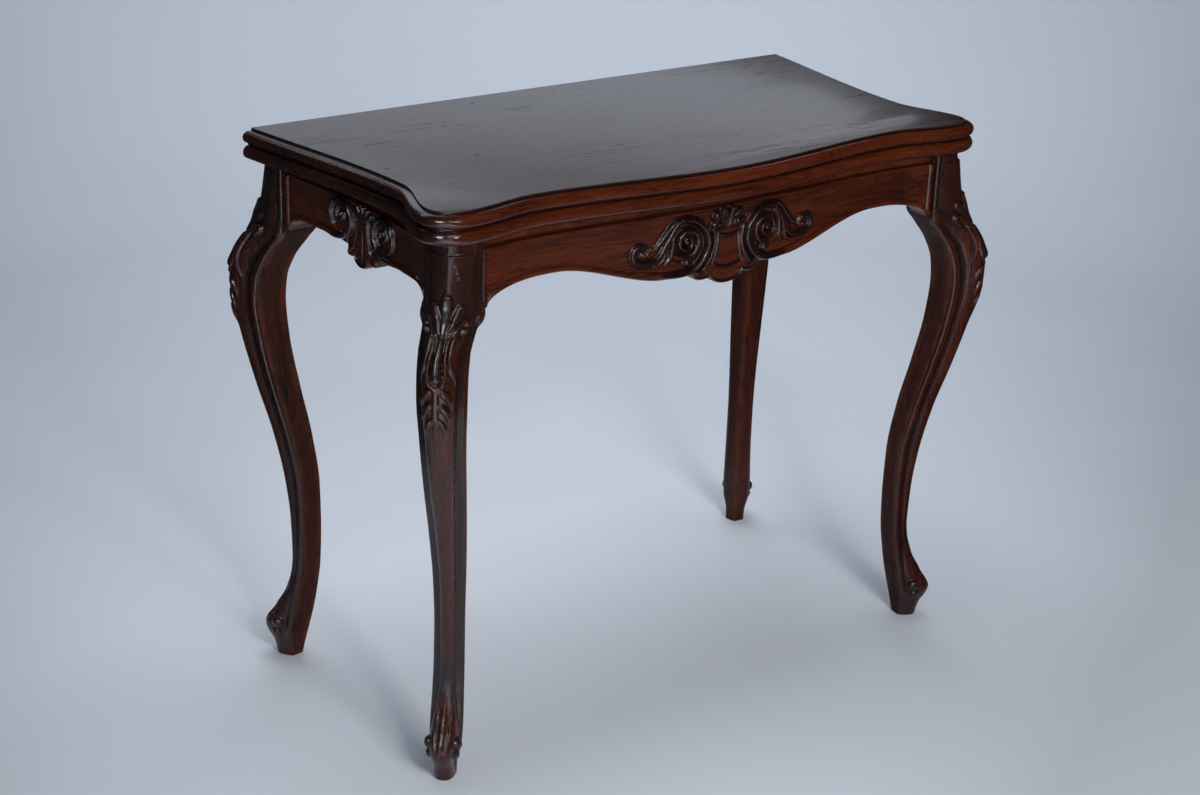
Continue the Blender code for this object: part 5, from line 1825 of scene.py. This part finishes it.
@dataclass
class Screws:
    """Slotted countersunk screws, set on points by a geometry node tree."""

    head_radius: float = 0.0032
    head_depth: float = 0.0016
    shank_radius: float = 0.0016
    length: float = 0.0060
    slot_width: float = 0.0007
    slot_depth: float = 0.0008
    point_share: float = 0.35
    slot_reach: float = 2.4
    sides: int = 28
    seed: int = 7
    smooth_angle: float = 30.0

    def sizes(self) -> dict[str, float]:
        """The tree's inputs that give a screw's size."""
        labels = ("Head Radius", "Head Depth", "Shank Radius", "Length", "Slot Width", "Slot Depth")
        return {label: getattr(self, label.lower().replace(" ", "_")) for label in labels}

    def tree(self) -> Tree:
        """Geometry node tree with the screw's sizes as inputs.

        Returns:
            The tree.
        """
        tree = bpy.data.node_groups.new("slotted_screws", "GeometryNodeTree")
        kinds = {"Points": "Geometry", "Material": "Material"}
        kinds |= dict.fromkeys((*self.sizes(), "Turn Over"), "Float")
        for label, kind in kinds.items():
            tree.interface.new_socket(name=label, in_out="INPUT", socket_type=f"NodeSocket{kind}")
        tree.interface.new_socket(name="Screws", in_out="OUTPUT", socket_type="NodeSocketGeometry")
        nodes = Nodes(tree)
        given = nodes.put("NodeGroupInput").outputs
        point = nodes.times(given["Shank Radius"], self.point_share)
        cones = []
        for top, low, deep in (("Head Radius", given["Shank Radius"], "Head Depth"),
                               ("Shank Radius", point, "Length")):
            sizes = {"Radius Top": given[top], "Radius Bottom": low, "Depth": given[deep]}
            cones.append(nodes.put("GeometryNodeMeshCone", {"Vertices": self.sides, **sizes}).outputs["Mesh"])
        head, shank = cones
        wide, deep = nodes.times(given["Head Radius"], self.slot_reach), nodes.times(given["Slot Depth"], 2.0)
        size = nodes.put("ShaderNodeCombineXYZ", {0: wide, 1: given["Slot Width"], 2: deep}).outputs[0]
        bar = nodes.put("GeometryNodeMeshCube", {"Size": size}).outputs["Mesh"]
        parts = {"Mesh 1": head, "Mesh 2": nodes.lifted(bar, given["Head Depth"])}
        cut = nodes.put("GeometryNodeMeshBoolean", parts, operation="DIFFERENCE", solver="EXACT")
        stem = nodes.lifted(shank, nodes.times(given["Length"], -1.0))
        whole = nodes.put("GeometryNodeJoinGeometry")
        for socket in (cut.outputs["Mesh"], stem):
            tree.links.new(socket, whole.inputs["Geometry"])
        screw = nodes.lifted(whole.outputs["Geometry"], nodes.times(given["Head Depth"], -1.0))
        chance = nodes.put("FunctionNodeRandomValue", {"Seed": self.seed}, data_type="FLOAT")
        next(s for s in chance.inputs if s.type == "VALUE" and s.name == "Max").default_value = math.pi
        angle = next(s for s in chance.outputs if s.type == "VALUE")
        euler = nodes.put("ShaderNodeCombineXYZ", {0: given["Turn Over"], 2: angle}).outputs[0]
        turn = nodes.put("FunctionNodeEulerToRotation", {0: euler}).outputs[0]
        spread = {"Points": given["Points"], "Instance": screw, "Rotation": turn}
        copies = nodes.put("GeometryNodeInstanceOnPoints", spread).outputs["Instances"]
        real = nodes.put("GeometryNodeRealizeInstances", {"Geometry": copies}).outputs["Geometry"]
        dressed = nodes.put("GeometryNodeSetMaterial", {"Geometry": real, "Material": given["Material"]})
        nodes.put("NodeGroupOutput", {"Screws": dressed.outputs["Geometry"]})
        return tree

    def build(self, name: str, tree: Tree, nodes: list[str], over: bool, material: Material, body: str,
              slot: str) -> None:
        """Sets one screw where each node is.

        Args:
            name: Name of the piece.
            tree: The screws' tree.
            nodes: Frame nodes that the screws stand for.
            over: Whether the heads face down.
            material: Finish of the screws.
            body: Body that carries them.
            slot: Handed on to hand_over, which does not use it.
        """
        places = []
        for node in nodes:
            low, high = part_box(node)
            places.append(((low[0] + high[0]) / 2, (low[1] + high[1]) / 2, low[2] if over else high[2]))
        obj = new_object(name, places, [])
        setup = obj.modifiers.new("screws", "NODES")
        setup.node_group = tree
        values = {**self.sizes(), "Turn Over": math.pi if over else 0.0, "Material": material}
        for item in tree.interface.items_tree:
            if item.in_out == "INPUT" and item.name in values:
                setup[item.identifier] = values[item.name]
        plain_mesh(obj)
        smooth(obj, self.smooth_angle)
        hand_over(obj, None, body, slot, *nodes)


# Studio


@dataclass
class Studio:
    """Paper sweep, soft lights, and the camera that the table is seen through."""

    paper: Colour = (0.60, 0.645, 0.73)
    paper_seen: Colour = (0.775, 0.833, 0.917)
    paper_shade: float = 0.60
    paper_rough: float = 0.9
    paper_shine: float = 0.1
    smudge_scale: float = 2.6
    smudge_range: tuple = (0.35, 0.75, 0.0, 0.05)
    # Painted light fall-off on the paper as the camera sees it: darker towards the sides and towards the
    # front
    side_axis: Triple = (0.76, -0.65, 0.0)
    view_axis: Triple = (0.65, 0.76, 0.0)
    lamp_distance: float = 2.85
    painted_falloff_rate: float = 9.5
    painted_falloff_shift: float = 0.05
    front_reach: Pair = (-1.0, 0.3)
    front_shade: float = 0.30
    floor_rings: Triple = (0.02, 0.6, 1.2)
    floor_radius: float = 1.9
    sweep_radius: float = 0.6
    sweep_steps: int = 14
    sweep_sides: int = 96
    sweep_smooth: float = 80.0
    wall_top: float = 1.05
    world: Colour = (0.47, 0.52, 0.62)
    fill: Colour = (0.10, 0.107, 0.12)
    room: Colour = (0.012, 0.012, 0.013)
    # Painted reflection: the paper's colour in the polish, near and far, and a strip in front that shines
    # brighter than its light
    paper_in_polish: Pair = (0.98, 0.05)
    polish_reach: Pair = (0.95, 1.30)
    strip_sides: Pair = (0.40, 0.85)
    strip_shift: float = 0.10
    painted_reflection_gain: float = 2.8
    strip_start: Pair = (-0.7, -0.3)
    warm: Colour = (1.0, 0.98, 0.95)
    cool: Colour = (0.96, 0.98, 1.0)
    knees: Triple = (0.0, 0.0, 0.45)
    top: Triple = (0.0, 0.0, 0.75)
    not_glossy: tuple[str, ...] = ("front_box", "roof_box")
    not_diffuse: tuple[str, ...] = ("left_box", "crown_box")
    camera_place: Triple = (-1.7451, -2.2606, 1.5159)
    camera_yaw: float = -0.7149
    camera_pitch: float = 0.3918
    camera_roll: float = 0.0590
    focal_pixels: float = 2235.27
    centre_pixel: Pair = (733.63, 419.86)
    frame_pixels: tuple[int, int] = (1200, 795)
    sensor: float = 36.0

    def build(self) -> None:
        """Makes the whole studio."""
        self.build_sweep()
        self.build_world()
        self.build_lights()
        self.build_camera()

    def build_sweep(self) -> None:
        """Round paper floor that sweeps up into a low wall, seen only from inside."""
        turn = np.linspace(0, QUARTER, self.sweep_steps)
        wall = self.floor_radius + self.sweep_radius
        sweep = self.floor_radius + self.sweep_radius * np.sin(turn)
        rise = self.sweep_radius * (1 - np.cos(turn))
        radii = np.concatenate([self.floor_rings, sweep, [wall]])
        heights = np.concatenate([np.zeros(len(self.floor_rings)), rise, [self.wall_top]])
        circle = disc((0.0, 0.0), 1.0, self.sweep_sides)
        points = [(r * x, r * y, z) for r, z in zip(radii, heights) for x, y in circle]
        ids, quads = ring_faces(len(radii), self.sweep_sides)
        faces = quads[:, [0, 3, 2, 1]].tolist() + [ids[0].tolist()]
        floor = new_object("paper_sweep", points, faces, self.sweep_smooth)
        floor.data.materials.append(self.paper_material())

    def paper_material(self) -> Material:
        """Pale paper with faint smudges and a painted light fall-off towards the sides and the front;
        reflections see a painted reflection; its outside lets the view through.

        Returns:
            The material.
        """
        material, nodes, shader = blank_material("studio_paper")
        coords = nodes.coords()
        axes = (self.side_axis, self.view_axis)
        aside, ahead = (nodes.vector_math("DOT_PRODUCT", {0: coords, 1: axis}) for axis in axes)
        # Painted light fall-off: darker away from the middle and towards the front
        spread = nodes.math("DIVIDE", aside, nodes.math("ADD", ahead, self.lamp_distance))
        spread = nodes.math("ADD", spread, self.painted_falloff_shift)
        fall = nodes.times(nodes.times(spread, spread), self.painted_falloff_rate)
        smudge = nodes.span(nodes.noise(coords, self.smudge_scale, detail=5.0), *self.smudge_range)
        front = nodes.span(ahead, *self.front_reach, self.front_shade, 0.0)
        shade = nodes.math("ADD", nodes.math("ADD", smudge, front), fall)
        seen = nodes.mix(shade, self.paper_seen, scaled(self.paper_shade, *self.paper_seen))
        # Painted reflection: glossy rays see the paper bright near the table and on a strip in front, and
        # dark far off
        near, far = (scaled(share, *self.paper) for share in self.paper_in_polish)
        away = nodes.vector_math("LENGTH", {0: coords})
        middle = nodes.math("ABSOLUTE", nodes.math("ADD", aside, self.strip_shift))
        strip = nodes.fade(ahead, *self.strip_start)
        lit = nodes.math("MAXIMUM", nodes.fade(away, *self.polish_reach), strip)
        mirrored = nodes.mix(nodes.times(nodes.fade(middle, *self.strip_sides), lit), far, near)
        beyond = nodes.times(strip, nodes.span(away, *self.polish_reach))
        gain = nodes.span(beyond, 0.0, 1.0, 1.0, self.painted_reflection_gain)
        mirrored = nodes.vector_math("SCALE", {0: mirrored, 3: gain}, "Vector")
        ray = nodes.put("ShaderNodeLightPath").outputs
        bounced = nodes.mix(ray["Is Glossy Ray"], self.paper, mirrored)
        colour = nodes.mix(ray["Is Camera Ray"], bounced, seen)
        nodes.feed(shader, {"Base Color": colour, "Roughness": self.paper_rough})
        nodes.feed(shader, {"Specular IOR Level": self.paper_shine})
        clear = nodes.put("ShaderNodeBsdfTransparent").outputs[0]
        outside = nodes.put("ShaderNodeNewGeometry").outputs["Backfacing"]
        both = nodes.put("ShaderNodeMixShader", {0: outside, 1: shader.outputs[0], 2: clear}).outputs[0]
        nodes.feed(material.node_tree.nodes["Material Output"], {"Surface": both})
        return material

    def build_world(self) -> None:
        """Pale surround that fills the shadows."""
        world = bpy.data.worlds.new("studio_surround")
        world.use_nodes = True
        bpy.context.scene.world = world
        nodes = Nodes(world.node_tree)
        ray = nodes.put("ShaderNodeLightPath").outputs
        unseen = nodes.mix(ray["Is Glossy Ray"], self.fill, self.room)
        colour = nodes.mix(ray["Is Camera Ray"], unseen, self.world)
        nodes.feed(world.node_tree.nodes["Background"], {"Color": colour})
        bpy.context.scene.view_settings.view_transform = "Standard"

    def build_lights(self) -> None:
        """Low key from the left front, boxes for highlights, two behind for the top's sheen, and a roof."""
        for name, place, target, size, power, colour in (
            ("front_box", (-0.50, -2.3, 1.25), (-0.3, 0.0, 0.5), (0.9, 1.3), 33.0, self.warm),
            ("bounce_box", (-0.9, -2.2, 2.9), self.knees, (1.4, 1.0), 12.0, self.cool),
            ("near_box", (-0.9, -3.0, 2.3), self.knees, (0.30, 0.40), 13.0, self.warm),
            ("left_box", (-2.5, -1.45, 2.2), self.knees, (0.80, 1.00), 34.0, (0.88, 0.94, 1.0)),
            ("back_box", (1.72, 2.81, 1.95), self.top, (2.7, 1.7), 11.9, (0.83, 0.88, 1.0)),
            ("crown_box", (-0.2, 2.7, 3.4), self.top, (3.0, 0.8), 11.0, (0.83, 0.90, 1.0)),
            ("roof_box", (0.3, 0.7, 3.2), (0.3, 0.6, 0.0), (2.0, 2.0), 45.0, self.cool),
        ):
            lamp = bpy.data.lights.new(name, "AREA")
            lamp.shape, lamp.energy, lamp.color = "RECTANGLE", power, colour
            lamp.size, lamp.size_y = size
            obj = linked(name, lamp)
            obj.location = place
            obj.rotation_euler = (Vector(target) - Vector(place)).to_track_quat("-Z", "Y").to_euler()
            obj.visible_camera = False
            obj.visible_glossy = name not in self.not_glossy
            obj.visible_diffuse = name not in self.not_diffuse

    def build_camera(self) -> None:
        """Camera at the picture's place, turn and framing."""
        yaw, pitch, roll = self.camera_yaw, self.camera_pitch, self.camera_roll
        back = Vector((math.sin(yaw) * math.cos(pitch), -math.cos(yaw) * math.cos(pitch), math.sin(pitch)))
        level = Vector((math.cos(yaw), math.sin(yaw), 0.0))
        rise = back.cross(level)
        right = math.cos(roll) * level + math.sin(roll) * rise
        up = math.cos(roll) * rise - math.sin(roll) * level
        width, height = self.frame_pixels
        data = bpy.data.cameras.new("studio_camera")
        data.sensor_width = self.sensor
        data.lens = self.focal_pixels * self.sensor / width
        data.shift_x = (width / 2 - self.centre_pixel[0]) / width
        data.shift_y = (self.centre_pixel[1] - height / 2) / width
        obj = linked("studio_camera", data)
        turn = Matrix((right, up, back)).transposed()
        obj.matrix_world = Matrix.Translation(self.camera_place) @ turn.to_4x4()
        bpy.context.scene.camera = obj


# The table


def pivot_cutters(clear: float = 0.0003, past: float = 0.002, steps: int = 48) -> list[Piece]:
    """Seats of the pivot's flange and the stop peg in the underside of the lower leaf.

    Args:
        clear: Room round each piece.
        past: How far the cutters reach below the leaf.
        steps: Sides of the cutters.

    Returns:
        Closed objects to cut with.
    """
    cutters = []
    for node in ("pivot_bolt", "stop_peg"):
        low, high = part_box(node)
        plan = disc(((low[0] + high[0]) / 2, (low[1] + high[1]) / 2), (high[0] - low[0]) / 2 + clear, steps)
        cutters.append(prism(f"{node}_seat", plan, LeafSide.LOWER.value - past, high[2] + clear))
    return cutters


def main() -> None:
    """Builds and dresses the table, piece by piece."""
    logging.basicConfig(level=logging.INFO, format="%(name)s: %(message)s")
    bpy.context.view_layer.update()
    effects = Effects()
    upright, lengthwise, crosswise, top, bare, brass, iron, cloth = (finish.material(effects) for finish in (
        WoodFinish("mahogany_legs", Grain.HEIGHT, dark=(0.012, 0.0026, 0.0012), light=(0.070, 0.0135, 0.0045),
                   gloss=(0.18, 0.32), coat=0.24, coat_rough=0.08),
        WoodFinish("mahogany_front", Grain.LENGTH),
        WoodFinish("mahogany_sides", Grain.DEPTH),
        TopFinish("mahogany_top", Grain.LENGTH, gloss=(0.14, 0.24), grain_depth=0.00005),
        WoodFinish("bare_secondary_wood", Grain.LENGTH, dark=(0.20, 0.115, 0.058), light=(0.40, 0.255, 0.14),
                   dirt=(0.10, 0.06, 0.035), rubbed=(0.46, 0.31, 0.18), gloss=(0.62, 0.80), coat=0.0),
        MetalFinish("aged_brass", (0.62, 0.43, 0.16), (0.26, 0.17, 0.07), (0.28, 0.55)),
        MetalFinish("forged_iron", (0.20, 0.19, 0.18), (0.08, 0.07, 0.065), (0.45, 0.70)),
        BaizeFinish(),
    ))
    hands, leaves = ("left", "right"), ("lower", "upper")

    Studio().build()
    CabrioleLeg().build(upright)
    FrontApron().build(Side.FRONT, lengthwise)
    for side in (Side.LEFT, Side.RIGHT):
        SideApron().build(side, crosswise)
    baize = Baize()
    TopLeaf(LeafSide.UPPER).build(top, baize, [])
    TopLeaf(LeafSide.LOWER).build(top, baize, pivot_cutters())
    for side in LeafSide:
        baize.build(side, cloth)
    boards = Joinery()
    boards.copy("back_apron", lengthwise, "frame", "mahogany")
    for node in ("well_bottom", "well_partition", "ledger_front", "ledger_back", "pivot_rail"):
        boards.copy(node, bare, "frame", "secondary_wood")
    boards.copy("stop_peg", bare, "lower_top", "secondary_wood")
    screws = Screws()
    tree = screws.tree()
    for label in leaves:
        nodes = [f"{label}_hinge_screw_{hand}_{i}" for hand in hands for i in (1, 2, 3)]
        screws.build(f"{label}_hinge_screws", tree, nodes, label == "upper", brass, f"{label}_top", "brass")
    nodes = [f"pivot_screw_{i}" for i in (1, 2, 3)]
    screws.build("pivot_screws", tree, nodes, True, iron, "lower_top", "iron")
    fittings = Joinery(ease=0.00025)
    for label in leaves:
        for hand in hands:
            fittings.copy(f"{label}_hinge_plate_{hand}", brass, f"{label}_top", "brass")
    for hand in hands:
        fittings.copy(f"hinge_pin_{hand}", brass, "lower_top", "brass")
    fittings.copy("pivot_bush", brass, "frame", "brass")
    for node in ("pivot_bolt", "pivot_washer", "pivot_nut"):
        fittings.copy(node, iron, "lower_top", "iron")


if __name__ == "__main__":
    main()
